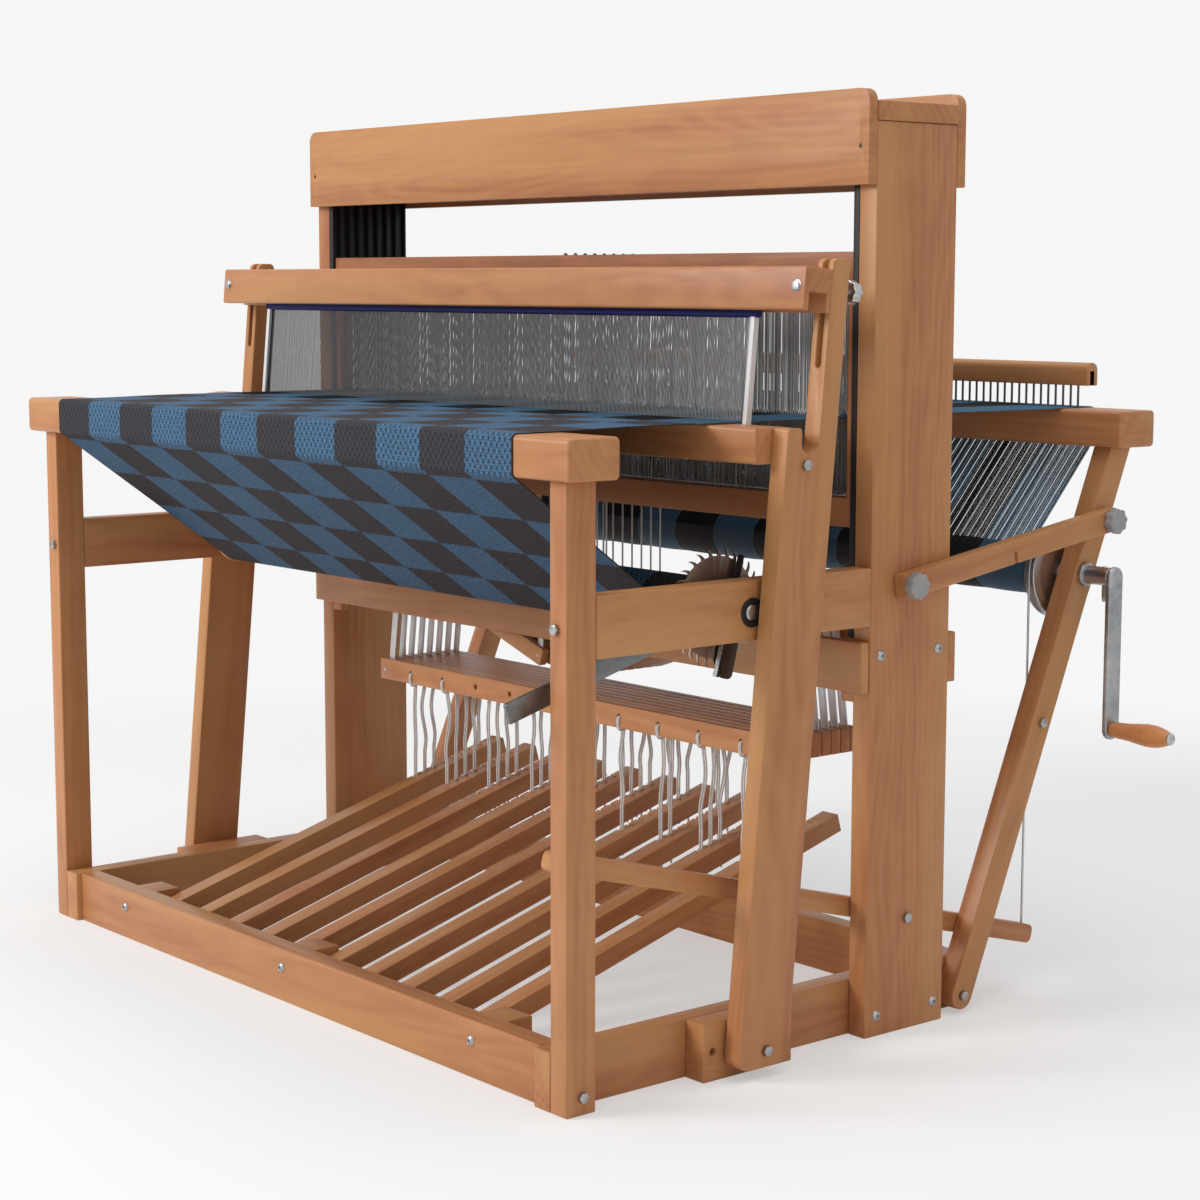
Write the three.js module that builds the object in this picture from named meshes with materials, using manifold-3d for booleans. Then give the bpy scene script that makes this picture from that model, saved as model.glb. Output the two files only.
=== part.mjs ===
// Floor loom with eight shafts, lamms, ten treadles, a swinging beater and a back that folds.
// Millimetres, +Z up. X runs from the weaver's left to the right, Y from the front post to the back beam.
import * as THREE from 'three';
import { mergeVertices } from 'three/addons/utils/BufferGeometryUtils.js';
import Module from 'manifold-3d';

const wasm = await Module();
wasm.setup();

// Whole loom
const frameWidth = 1180;
const beamTop = 750;
const castleRise = 351;
const boardThick = 29;
const seat = 0.3;
const slack = 0.35;
const embed = 0.2;
const overrun = 10;

// Side frames
const postDepth = 42;
const baseRailHeight = 69;
const baseRailBehind = 69;
const crossRailSetBack = 8;
const upperRailHeight = 70;
const upperRailDrop = 243;

// Shafts and the castle round them
const shaftCount = 8;
const shaftPitch = 17;
const castleFront = 466;
const trackMargin = 0.5;
const trackThick = 9;
const trackTopGap = 6;
const trackGrooveDepth = 5.5;
const trackGrooveWidth = 9.4;
const trackBottomGap = 2;
const topBoardHeight = 111;
const topBoardRise = 37;
const topBoardRound = 15;
const castleBoardThick = 14;
const castleBoardInset = 0.5;
const capThick = 23;
const capReach = 2;
const lowBoardHeight = 62;
const lowBoardDrop = 324;
const lowBoardInset = 1.5;
const jackPivotSpread = 240;
const jackPivotRadius = 5;
const shaftDrop = 128;
const shaftTopShare = 0.5698;
const shaftBarHeight = 34;
const shaftBarThick = 10;
const shaftBarGap = 2.7;
const shaftEndWidth = 16;
const shaftEndThick = 8;
const shaftEndGap = 0.5;
const heddleCount = 8;
const heddleEndSpace = 67;
const heddleWidth = 2;
const heddleThick = 1;

// Lamms and treadles
const lammBeyond = 78.1;
const lammHeight = 31;
const lammDrop = 107;
const lammThick = 10;
const lammSetBack = 2;
const lammHoleRadius = 4;
const strapWidth = 11;
const strapThick = 1.5;
const strapInset = 17;
const strapLean = 26;
const strapRise = 66;
const strapPinSize = 4;
const lammHoleSides = 6;
const treadleCount = 10;
const treadleMargin = 160;
const treadleWidth = 28;
const treadleHeight = 24;
const treadleTail = 33;
const treadleEndShare = 0.6574;
const kerfWidth = 3;
const kerfSetBack = 6;
const axleRadius = 4;
const axleSetBack = 23;
const axleHeight = 42;
const bracketWidth = 50;
const bracketDepth = 43;
const bracketHeight = 66;
const bracketBeyond = 2;

// Beater
const pivotBlockFront = 200;
const pivotBlockDepth = 140;
const pivotBlockThick = 32;
const pivotHeight = 33;
const pivotRadius = 5;
const washerRadius = 11;
const beaterGap = 7;
const legThick = 26;
const legAhead = 42;
const legBehind = 36;
const legLeanShare = 0.094;
const legFoot = 20;
const legRound = 18;
const lugWidth = 22;
const notchDepth = 29;
const armWidth = 28;
const armBeyond = 34;
const armRound = 10;
const slotWidth = 8.4;
const slotDepth = 124;
const raceThick = 41;
const raceFront = 2;
const raceDepth = 74;
const raceChamfer = 8;
const raceLipDrop = 8;
const raceGroove = 11;
const raceGrooveDepth = 22;
const reedThick = 9;
const reedMargin = 22;
const reedEndInset = 5;
const reedEndWidth = 11;
const reedBaulk = 14;
const reedHeight = 166;
const reedBehindPivot = 54.5;
const treeHeight = 50;
const treeDepth = 42;
const treeOverlap = 9;
const treeGrooveWidth = 28;
const treeGrooveDepth = 22;
const treeGrooveBehind = 8;
const treeBoltRadius = 3.5;
const treeKnobRadius = 12;
const treeKnobThick = 13;
const treeKnobGap = 10;

// Beams
const beamThick = 47;
const beamDepth = 72;
const beamReach = 22.7;
const beamRound = 6;
const beamOverhang = 15;

// Cloth beam, its ratchet and the two arms on its axle
const clothAxleY = 272;
const clothAxleRise = 33;
const clothAxleRadius = 12;
const clothRollRadius = 33;
const hubRadius = 36;
const hubThick = 6;
const ratchetGap = 1;
const ratchetRadius = 71;
const ratchetDepth = 9;
const ratchetThick = 8;
const ratchetTeeth = 36;
const pawlThick = 6.4;
const pawlWidth = 31;
const pawlDrop = 79;
const pawlRise = 66;
const pawlTilt = 8;
const pawlTipWidth = 15.5;
const pawlRound = 7.8;
const pawlChannel = 3.6;
const pawlChannelDrop = 24;
const leverThick = 4.5;
const leverHeight = 23.5;
const leverReach = 329;
const leverStart = 18;
const leverTilt = 15.9;
const leverHub = 22;
const pushPawlWidth = 12;
const pushPawlReach = 16;

// Back frame
const foldPivotBehind = 38;
const foldPivotHeight = 23;
const backLegWidth = 36.5;
const backLean = 22.7;
const backBeamDepth = 70;
const backBeamAhead = 52;
const warpAxleDrop = 208.5;
const warpAxleRadius = 8;
const warpRollRadius = 33;
const rollHubRadius = 27;
const rollHubThick = 12;
const drumRadius = 60;
const drumThick = 16;
const drumRim = 3;
const drumSlope = 1;
const drumGroove = 3;
const drumGap = 5;
const collarRadius = 10.5;
const collarThick = 10;
const raddleRise = 30;
const raddleCapThick = 30;
const raddleCapDepth = 22;
const raddleCapRound = 9;
const raddleMargin = 24;
const raddlePin = 3;

// Braces
const braceThick = 18.7;
const braceWidth = 30;
const braceFrontAhead = 52;
const braceFrontRise = 47;
const braceRearDrop = 140;
const braceNotchAt = 187;
const braceNotchWidth = 3;
const braceNotchDepth = 15;
const knobRadius = 17;
const knobThick = 13;
const knobLobes = 8;
const knobValleyShare = 0.8;

// Crank and its handle
const socketRadius = 9.5;
const socketLength = 40;
const crankBlind = 6;
const crossPinRadius = 2.8;
const crossPinUp = 13;
const crossPinDown = 33;
const crankThick = 8;
const crankWidth = 27;
const crankReach = 196;
const handlePinRadius = 4;
const handleLength = 90;
const handleRadius = 14.5;
const handleNeckRadius = 8;
const handleCapThick = 4;
const handleShares = [[0, 0.66], [0.3, 0.75], [0.6, 1], [0.8, 0.93], [1, 0.55]];

// Brake pedal and its cable
const pedalThick = 20;
const pedalHeight = 24;
const pedalGap = 1;
const pedalPivotHeight = 141;
const pedalPivotAhead = 68;
const pedalAhead = 548;
const pedalBehind = 280;
const pedalTilt = 15;
const pedalPinRadius = 4;
const cableRadius = 1.5;
const cableTurn = 270;
const cableSides = 8;
const cableDropSteps = 40;
const cableTurnSteps = 24;

// Cloth and warp
const clothMargin = 44;
const warpInset = 4;
const webThick = 1.2;
const webRise = 2.5;
const webRiseAt = 150;
const slitWidth = 6;

// Facets of round parts
const roundSides = 24;
const rodSides = 12;
const cornerSteps = 2;

const quarter = Math.PI / 2;
const half = value => value / 2;
const radians = THREE.MathUtils.degToRad;
const axisX = new THREE.Vector3(1, 0, 0);
const axisY = new THREE.Vector3(0, 1, 0);
const axisZ = new THREE.Vector3(0, 0, 1);
const backwards = axisY.clone().negate();
const downwards = axisZ.clone().negate();

// Places that several pieces share
const halfOuter = half(frameWidth);
const halfInner = halfOuter - boardThick;
const railOuter = halfInner - seat;
const railInner = railOuter - boardThick;
const uprightDepth = shaftCount * shaftPitch + 2 * trackMargin;
const castleBack = castleFront + uprightDepth;
const castleMiddle = castleFront + half(uprightDepth);
const baseRailLength = castleBack + baseRailBehind;
const beamBottom = beamTop - beamThick;
const legTop = beamBottom - seat;
const castleHeight = beamTop + castleRise;
const topBoardTop = castleHeight + topBoardRise;
const upperRailBottom = beamTop - upperRailDrop;
const lowBoardBottom = beamTop - lowBoardDrop;
const lammBottom = lowBoardBottom - lammDrop;
const jackPivotHeight = lowBoardBottom + half(lowBoardHeight);
const strapTop = jackPivotHeight + strapRise;
const clothAxleZ = upperRailBottom + clothAxleRise;
const warpAxleHeight = beamTop - warpAxleDrop;
const shaftBottom = beamTop - shaftDrop;
const shaftTop = beamTop + castleRise * shaftTopShare;
const clothHalfWidth = halfInner - clothMargin;
const warpHalfWidth = clothHalfWidth - warpInset;
const pivotY = pivotBlockFront + half(pivotBlockDepth);
const axleY = crossRailSetBack + boardThick + axleSetBack;
const foldPivotY = castleBack + foldPivotBehind;
const backLeanShare = Math.tan(radians(backLean));
const backLegAt = z => foldPivotY + backLeanShare * (z - foldPivotHeight);
const warpAxleY = backLegAt(warpAxleHeight);
const beaterLean = Math.atan(legLeanShare);
const shaftY = index => castleMiddle + (index - half(shaftCount - 1)) * shaftPitch;
const lammY = index => shaftY(index) + lammSetBack;
const treadlePitch = 2 * (halfInner - treadleMargin) / treadleCount;
const treadleX = index => (index - half(treadleCount - 1)) * treadlePitch;
const lammHalfLength = treadleX(treadleCount - 1) + lammBeyond;
const treadleRun = lammY(shaftCount - 1) + kerfSetBack - axleY + treadleTail;
const treadleRise = lammBottom * treadleEndShare - axleHeight;
const treadleTilt = Math.atan2(treadleRise, treadleRun);
const treadleLength = Math.hypot(treadleRun, treadleRise);
const bracketSpread = half(treadleCount * treadlePitch) + bracketBeyond;
const heddleHalf = halfInner - trackThick - heddleEndSpace;
const heddleX = index => heddleHalf * (2 * index / (heddleCount - 1) - 1);
const sides = [['left', -1], ['right', 1]];
const span = (side, inner, outer) => (side > 0 ? [inner, outer] : [-outer, -inner]);
const both = reach => [-reach, reach];

// Materials
const wood = new THREE.MeshStandardMaterial({ color: '#c0805a', roughness: 0.5, flatShading: true });
const darkWood = new THREE.MeshStandardMaterial({ color: '#a8744c', roughness: 0.55, flatShading: true });
const steel = new THREE.MeshStandardMaterial({
  color: '#9ea1a3', roughness: 0.4, metalness: 0.9, flatShading: true,
});
const blackPlastic = new THREE.MeshStandardMaterial({ color: '#161616', roughness: 0.6, flatShading: true });
const cloth = new THREE.MeshStandardMaterial({ color: '#4678a5', roughness: 0.9, flatShading: true });

const loom = new THREE.Group();

function add(name, geometry, material) {
  const mesh = new THREE.Mesh(geometry, material);
  mesh.name = name;
  loom.add(mesh);
  return mesh;
}

// Solids joined and cut
function toSolid(geometry) {
  const bare = geometry.clone();
  bare.deleteAttribute('normal');
  bare.deleteAttribute('uv');
  const merged = mergeVertices(bare);
  return new wasm.Manifold(new wasm.Mesh({
    numProp: 3,
    vertProperties: new Float32Array(merged.attributes.position.array),
    triVerts: new Uint32Array(merged.index.array),
  }));
}

function toGeometry(solid) {
  const mesh = solid.getMesh();
  const geometry = new THREE.BufferGeometry();
  geometry.setAttribute('position', new THREE.BufferAttribute(new Float32Array(mesh.vertProperties), 3));
  geometry.setIndex(new THREE.BufferAttribute(new Uint32Array(mesh.triVerts), 1));
  return geometry;
}

const join = (...pieces) => toGeometry(pieces.map(toSolid).reduce((whole, piece) => whole.add(piece)));
const cut = (piece, ...tools) => toGeometry(
  tools.map(toSolid).reduce((whole, tool) => whole.subtract(tool), toSolid(piece)),
);

// Box between a low and a high value along each axis
function block([x0, x1], [y0, y1], [z0, z1]) {
  const geometry = new THREE.BoxGeometry(x1 - x0, y1 - y0, z1 - z0);
  return geometry.translate(half(x0 + x1), half(y0 + y1), half(z0 + z1));
}

// Outline whose corners are [across, up, length rounded off]
function outline(corners) {
  const shape = new THREE.Shape();
  corners.forEach(([across, up, round = 0], index) => {
    const corner = new THREE.Vector2(across, up);
    const toLast = new THREE.Vector2(...corners.at(index - 1)).sub(corner).normalize();
    const toNext = new THREE.Vector2(...corners[(index + 1) % corners.length]).sub(corner).normalize();
    const start = corner.clone().addScaledVector(toLast, round);
    if (index === 0) {
      shape.moveTo(start.x, start.y);
    } else {
      shape.lineTo(start.x, start.y);
    }
    if (round > 0) {
      const end = corner.clone().addScaledVector(toNext, round);
      const opening = half(Math.acos(toLast.dot(toNext)));
      const inward = toLast.clone().add(toNext).setLength(round / Math.cos(opening));
      const centre = corner.clone().add(inward);
      const from = start.sub(centre);
      const to = end.sub(centre);
      shape.absarc(centre.x, centre.y, from.length(), from.angle(), to.angle(), toLast.cross(toNext) > 0);
    }
  });
  return shape;
}

// Hole of flat sides that all lie on the given radius
function roundHole(shape, radius, across = 0, up = 0, count = rodSides) {
  const hole = new THREE.Path();
  const corner = radius / Math.cos(Math.PI / count);
  for (let index = 0; index < count; index += 1) {
    const angle = -index * 2 * Math.PI / count;
    const place = [across + corner * Math.cos(angle), up + corner * Math.sin(angle)];
    if (index === 0) {
      hole.moveTo(...place);
    } else {
      hole.lineTo(...place);
    }
  }
  shape.holes.push(hole);
  return shape;
}

// Outline in Y and Z drawn out along X
function sideProfile(shape, [x0, x1]) {
  const settings = { depth: x1 - x0, bevelEnabled: false, curveSegments: cornerSteps };
  const geometry = new THREE.ExtrudeGeometry(shape, settings);
  geometry.applyMatrix4(new THREE.Matrix4().makeBasis(axisY, axisZ, axisX));
  return geometry.translate(x0, 0, 0);
}

// Outline in X and Z drawn out along Y
function frontProfile(shape, [y0, y1]) {
  const settings = { depth: y1 - y0, bevelEnabled: false, curveSegments: cornerSteps };
  const geometry = new THREE.ExtrudeGeometry(shape, settings);
  geometry.applyMatrix4(new THREE.Matrix4().makeBasis(axisX, axisZ, backwards));
  return geometry.translate(0, y1, 0);
}

// Outline in X and Y drawn out along Z
function planProfile(shape, [z0, z1]) {
  const geometry = new THREE.ExtrudeGeometry(shape, { depth: z1 - z0, bevelEnabled: false });
  return geometry.translate(0, 0, z0);
}

// Profile of [along X, radius] turned about a line along X
function turned(profile, y, z, segments = roundSides) {
  const points = profile.map(([along, radius]) => new THREE.Vector2(radius, along));
  const geometry = new THREE.LatheGeometry(points, segments);
  geometry.applyMatrix4(new THREE.Matrix4().makeBasis(axisY, axisX, downwards));
  return geometry.translate(0, y, z);
}

function rodX(radius, [x0, x1], y, z) {
  const geometry = new THREE.CylinderGeometry(radius, radius, x1 - x0, rodSides);
  return geometry.rotateZ(-quarter).translate(half(x0 + x1), y, z);
}

function rodY(radius, x, [y0, y1], z) {
  const geometry = new THREE.CylinderGeometry(radius, radius, y1 - y0, rodSides);
  return geometry.translate(x, half(y0 + y1), z);
}

function rodZ(radius, x, y, [z0, z1]) {
  const geometry = new THREE.CylinderGeometry(radius, radius, z1 - z0, rodSides);
  return geometry.rotateX(quarter).translate(x, y, half(z0 + z1));
}

// Star knob: lobes with flat tops round a centre
function star(radius) {
  const shape = new THREE.Shape();
  const corners = knobLobes * 4;
  for (let index = 0; index < corners; index += 1) {
    const reach = index % 4 < 2 ? radius : radius * knobValleyShare;
    const angle = (index + 1 / 2) * 2 * Math.PI / corners;
    const place = [reach * Math.cos(angle), reach * Math.sin(angle)];
    if (index === 0) {
      shape.moveTo(...place);
    } else {
      shape.lineTo(...place);
    }
  }
  return shape;
}

// Bar with round ends from the origin along +Y, as an outline in Y and Z
function barOutline(width, length) {
  const shape = new THREE.Shape();
  shape.absarc(0, 0, half(width), quarter, -quarter, false);
  shape.absarc(length, 0, half(width), -quarter, quarter, false);
  return shape;
}

// Side frames: posts, base rails with the beater's pivot blocks, and upper rails
function addSideFrames() {
  for (const [name, side] of sides) {
    const outerBoard = span(side, halfInner, halfOuter);
    const railBoard = span(side, railInner, railOuter);
    add(`front_post_${name}`, block(outerBoard, [0, postDepth], [0, legTop]), wood);

    const rail = block(railBoard, [0, baseRailLength], [0, baseRailHeight]);
    const blockEnd = pivotBlockFront + pivotBlockDepth;
    const blockOuter = railOuter + pivotBlockThick;
    const pivotBlock = block(
      span(side, railOuter - embed, blockOuter), [pivotBlockFront, blockEnd], [0, baseRailHeight],
    );
    const legOuter = halfOuter + beaterGap + legThick;
    const legInner = halfOuter + beaterGap;
    const pinSpan = span(side, blockOuter - boardThick, legOuter - slack);
    const beaterPin = rodX(pivotRadius, pinSpan, pivotY, pivotHeight);
    const washerSpan = span(side, blockOuter - embed, legInner - seat);
    const washer = rodX(washerRadius, washerSpan, pivotY, pivotHeight);
    const foldPin = rodX(
      pivotRadius, span(side, railOuter - half(boardThick), halfOuter), foldPivotY, foldPivotHeight,
    );
    add(`base_rail_${name}`, join(rail, pivotBlock, beaterPin, washer, foldPin), wood);

    const upperRail = outline([
      [postDepth + seat, upperRailBottom],
      [castleFront - seat, upperRailBottom],
      [castleFront - seat, upperRailBottom + upperRailHeight],
      [postDepth + seat, upperRailBottom + upperRailHeight],
    ]);
    roundHole(upperRail, clothAxleRadius + slack, clothAxleY, clothAxleZ, roundSides);
    add(`upper_rail_${name}`, sideProfile(upperRail, outerBoard), wood);
  }
  const crossRail = both(railInner - seat);
  const crossHeight = [0, baseRailHeight];
  const frontRail = [crossRailSetBack, crossRailSetBack + boardThick];
  const rearRail = [baseRailLength - boardThick, baseRailLength];
  add('front_base_rail', block(crossRail, frontRail, crossHeight), wood);
  add('rear_base_rail', block(crossRail, rearRail, crossHeight), wood);
}

function addBreastBeam() {
  const front = -beamOverhang;
  const section = outline([
    [front, beamBottom, beamRound],
    [front + beamDepth, beamBottom, beamRound],
    [front + beamDepth, beamTop, beamRound],
    [front, beamTop, beamRound],
  ]);
  add('breast_beam', sideProfile(section, both(halfOuter + beamReach)), wood);
}

// Castle: uprights, the cap with its two top boards, low boards with the jack rods, and the shaft tracks
function addCastle() {
  for (const [name, side] of sides) {
    const upright = block(
      span(side, halfInner, halfOuter), [castleFront, castleBack], [0, castleHeight],
    );
    const pedalY = castleBack - pedalPivotAhead;
    const pedalPinSpan = [halfInner - pedalGap - pedalThick, halfInner + half(boardThick)];
    const pedalPin = rodX(pedalPinRadius, pedalPinSpan, pedalY, pedalPivotHeight);
    add(`castle_upright_${name}`, side > 0 ? join(upright, pedalPin) : upright, wood);
    addTrack(name, side);
  }
  const boardFront = [castleFront - seat - castleBoardThick, castleFront - seat];
  const boardBack = [castleBack + seat, castleBack + seat + castleBoardThick];
  const halfTop = halfOuter - castleBoardInset;
  const topBoard = outline([
    [-halfTop, topBoardTop - topBoardHeight],
    [halfTop, topBoardTop - topBoardHeight],
    [halfTop, topBoardTop, topBoardRound],
    [-halfTop, topBoardTop, topBoardRound],
  ]);
  const cap = block(
    both(halfOuter + capReach),
    [castleFront - seat - embed, castleBack + seat + embed],
    [castleHeight + seat, castleHeight + seat + capThick],
  );
  add('castle_top', join(frontProfile(topBoard, boardFront), frontProfile(topBoard, boardBack), cap), wood);

  const lowSpan = both(halfOuter - lowBoardInset);
  const lowHeight = [lowBoardBottom, lowBoardBottom + lowBoardHeight];
  const jackRods = both(jackPivotSpread).map(x => rodY(
    jackPivotRadius, x, [castleFront - seat - embed, castleBack], jackPivotHeight,
  ));
  add('castle_low_board_front', join(block(lowSpan, boardFront, lowHeight), ...jackRods), wood);
  add('castle_low_board_back', block(lowSpan, boardBack, lowHeight), wood);
}

// Ribbed track: a comb in plan, with one groove for each shaft
function addTrack(name, side) {
  const face = railOuter - trackThick;
  const floor = face + trackGrooveDepth;
  const corners = [[railOuter, castleFront + trackMargin], [face, castleFront + trackMargin]];
  for (let index = 0; index < shaftCount; index += 1) {
    const near = shaftY(index) - half(trackGrooveWidth);
    const far = shaftY(index) + half(trackGrooveWidth);
    corners.push([face, near], [floor, near], [floor, far], [face, far]);
  }
  corners.push([face, castleBack - trackMargin], [railOuter, castleBack - trackMargin]);
  const low = lowBoardBottom + lowBoardHeight + trackBottomGap;
  const comb = outline(corners.map(([x, y]) => [side * x, y]));
  add(`shaft_track_${name}`, planProfile(comb, [low, castleHeight - trackTopGap]), blackPlastic);
}

// Shaft: two bars, two end bars that run in the tracks, and upright heddle wires
function addShafts() {
  const barReach = railOuter - trackThick - shaftBarGap;
  const endReach = railOuter - trackThick + trackGrooveDepth - shaftEndGap;
  const bars = y => [
    [shaftBottom, shaftBottom + shaftBarHeight],
    [shaftTop - shaftBarHeight, shaftTop],
  ].map(height => block(both(barReach), [y - half(shaftBarThick), y + half(shaftBarThick)], height));
  for (let index = 0; index < shaftCount; index += 1) {
    const y = shaftY(index);
    const ends = sides.map(([, side]) => block(
      span(side, endReach - shaftEndWidth, endReach),
      [y - half(shaftEndThick), y + half(shaftEndThick)],
      [shaftBottom, shaftTop],
    ));
    const wires = Array.from({ length: heddleCount }, (_, wire) => block(
      [heddleX(wire) - half(heddleWidth), heddleX(wire) + half(heddleWidth)],
      [y - half(heddleThick), y + half(heddleThick)],
      [shaftBottom + shaftBarHeight - embed, shaftTop - shaftBarHeight + embed],
    ));
    add(`shaft_${index + 1}`, join(...bars(y), ...ends, ...wires), wood);
  }
}

// Lamm: a board with a row of tie-up holes and two pairs of steel straps up to its jacks
function addLamms() {
  for (let index = 0; index < shaftCount; index += 1) {
    const y = lammY(index);
    const board = outline([
      [-lammHalfLength, lammBottom],
      [lammHalfLength, lammBottom],
      [lammHalfLength, lammBottom + lammHeight],
      [-lammHalfLength, lammBottom + lammHeight],
    ]);
    for (let hole = 0; hole < treadleCount; hole += 1) {
      roundHole(board, lammHoleRadius, treadleX(hole), lammBottom + half(lammHeight), lammHoleSides);
    }
    const faces = [y - half(lammThick), y + half(lammThick)];
    const pieces = [frontProfile(board, faces)];
    for (const [, side] of sides) {
      const foot = side * (lammHalfLength - strapInset);
      const head = side * (lammHalfLength - strapInset - strapLean);
      const strap = outline([
        [foot - half(strapWidth), lammBottom + half(strapWidth)],
        [foot + half(strapWidth), lammBottom + half(strapWidth)],
        [head + half(strapWidth), strapTop],
        [head - half(strapWidth), strapTop],
      ]);
      pieces.push(
        frontProfile(strap, [faces[0] - strapThick, faces[0] + embed]),
        frontProfile(strap, [faces[1] - embed, faces[1] + strapThick]),
        block(
          [head - half(strapPinSize), head + half(strapPinSize)],
          [faces[0] - half(strapThick), faces[1] + half(strapThick)],
          [strapTop - half(strapWidth) - strapPinSize, strapTop - half(strapWidth)],
        ),
      );
    }
    add(`lamm_${index + 1}`, join(...pieces), darkWood);
  }
}

// Treadle: a bar on the axle, with a kerf on its left side under each lamm for the tie-up cords
function treadleGeometry() {
  const shape = new THREE.Shape();
  shape.absarc(0, 0, half(treadleHeight), quarter, 3 * quarter, false);
  shape.lineTo(treadleLength, -half(treadleHeight));
  shape.lineTo(treadleLength, half(treadleHeight));
  roundHole(shape, axleRadius + slack);
  const bar = sideProfile(shape, both(half(treadleWidth)));
  const kerfs = Array.from({ length: shaftCount }, (_, index) => {
    const along = (lammY(index) + kerfSetBack - axleY) / Math.cos(treadleTilt);
    return block(
      [-treadleWidth, 0],
      [along - half(kerfWidth), along + half(kerfWidth)],
      both(treadleHeight),
    );
  });
  return cut(bar, ...kerfs).rotateX(treadleTilt);
}

function addTreadles() {
  const geometry = treadleGeometry();
  for (let index = 0; index < treadleCount; index += 1) {
    const treadle = add(`treadle_${index + 1}`, geometry, wood);
    treadle.position.set(treadleX(index), axleY, axleHeight);
  }
  const bracketFront = crossRailSetBack + boardThick + seat;
  const brackets = [-bracketSpread, 0, bracketSpread].map(x => block(
    [x - half(bracketWidth), x + half(bracketWidth)],
    [bracketFront, bracketFront + bracketDepth],
    [0, bracketHeight],
  ));
  const axle = rodX(axleRadius, both(bracketSpread + half(bracketWidth) - embed), axleY, axleHeight);
  add('treadle_axle', join(...brackets, axle), wood);
}

// Beater: two legs that lean back, each with a lug, a notch and a slotted arm, and the race beam
const legFrontAt = z => pivotY - legAhead + legLeanShare * (z - pivotHeight);
const legBackAt = z => pivotY + legBehind + legLeanShare * (z - pivotHeight);
const armFrontAt = z => legBackAt(z) - armWidth;
const treeRise = reedHeight - treeOverlap;
const armTop = beamTop + treeRise + armBeyond;
const reedAt = z => pivotY + reedBehindPivot + legLeanShare * (z - beamTop);
const raceInner = halfOuter + beaterGap;

function beaterLeg(side) {
  const footZ = pivotHeight - legFoot;
  const notchZ = beamTop - notchDepth;
  const lugBack = legFrontAt(beamTop) + lugWidth;
  const shape = outline([
    [legFrontAt(footZ), footZ, legRound],
    [legBackAt(footZ), footZ, half(legRound)],
    [legBackAt(armTop), armTop, armRound],
    [armFrontAt(armTop), armTop, armRound],
    [armFrontAt(notchZ), notchZ, armRound],
    [lugBack, notchZ, armRound],
    [lugBack, beamTop],
    [legFrontAt(beamTop), beamTop],
  ]);
  roundHole(shape, pivotRadius + slack, pivotY, pivotHeight);
  const leg = sideProfile(shape, span(side, raceInner, raceInner + legThick));
  const slotMiddle = side * (raceInner + half(legThick));
  const slot = block(
    [slotMiddle - half(slotWidth), slotMiddle + half(slotWidth)],
    [armFrontAt(beamTop) - overrun, legBackAt(armTop) + overrun],
    [armTop - slotDepth, armTop + overrun],
  );
  return cut(leg, slot);
}

function raceBeam() {
  const front = pivotY - raceFront;
  const bottom = beamTop - raceThick;
  const lip = beamTop - raceLipDrop;
  const floor = beamTop - raceGrooveDepth;
  return sideProfile(outline([
    [front, bottom],
    [front + raceDepth, bottom],
    [front + raceDepth, lip],
    [reedAt(lip) + half(raceGroove), lip],
    [reedAt(floor) + half(raceGroove), floor],
    [reedAt(floor) - half(raceGroove), floor],
    [reedAt(beamTop) - half(raceGroove), beamTop],
    [front + raceChamfer, beamTop],
    [front, beamTop - raceChamfer],
  ]), both(raceInner + embed));
}

// Reed: two baulks and two end bars, leaning with the beater's arms
function reedFrame() {
  const outer = halfInner - reedMargin;
  const end = outer - reedEndInset;
  const depth = both(half(reedThick));
  const baulks = [[0, reedBaulk], [reedHeight - reedBaulk, reedHeight]].map(
    height => block(both(outer), depth, height),
  );
  const ends = sides.map(([, side]) => block(
    span(side, end - reedEndWidth, end), depth, [reedBaulk - embed, reedHeight - reedBaulk + embed],
  ));
  return join(...baulks, ...ends);
}

// Hand tree: a grooved rail in front of the arms, with a bolt and a star knob through each slot
function handTree() {
  const back = half(treeDepth);
  const low = -half(treeHeight);
  const grooveFront = -back + treeGrooveBehind;
  const rail = sideProfile(outline([
    [-back, low], [grooveFront, low], [grooveFront, low + treeGrooveDepth],
    [grooveFront + treeGrooveWidth, low + treeGrooveDepth], [grooveFront + treeGrooveWidth, low],
    [back, low], [back, -low, beamRound], [-back, -low, beamRound],
  ]), both(raceInner + legThick));
  const pieces = sides.flatMap(([, side]) => {
    const x = side * (raceInner + half(legThick));
    const knobFront = back + armWidth + treeKnobGap;
    const knob = frontProfile(star(treeKnobRadius), [knobFront, knobFront + treeKnobThick]).translate(x, 0, 0);
    return [rodY(treeBoltRadius, x, [back - embed, knobFront + embed], 0), knob];
  });
  return join(rail, ...pieces);
}

function addBeater() {
  add('beater_frame', join(beaterLeg(-1), beaterLeg(1), raceBeam()), wood);
  const reed = add('reed', reedFrame(), steel);
  const reedFoot = beamTop - raceGrooveDepth + seat + half(reedThick) * legLeanShare;
  reed.rotation.x = -beaterLean;
  reed.position.set(0, reedAt(reedFoot), reedFoot);
  const tree = add('hand_tree', handTree(), wood);
  const treeZ = beamTop + treeRise;
  tree.rotation.x = -beaterLean;
  tree.position.set(0, armFrontAt(treeZ) - (seat + half(treeDepth)) / Math.cos(beaterLean), treeZ);
}

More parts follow.
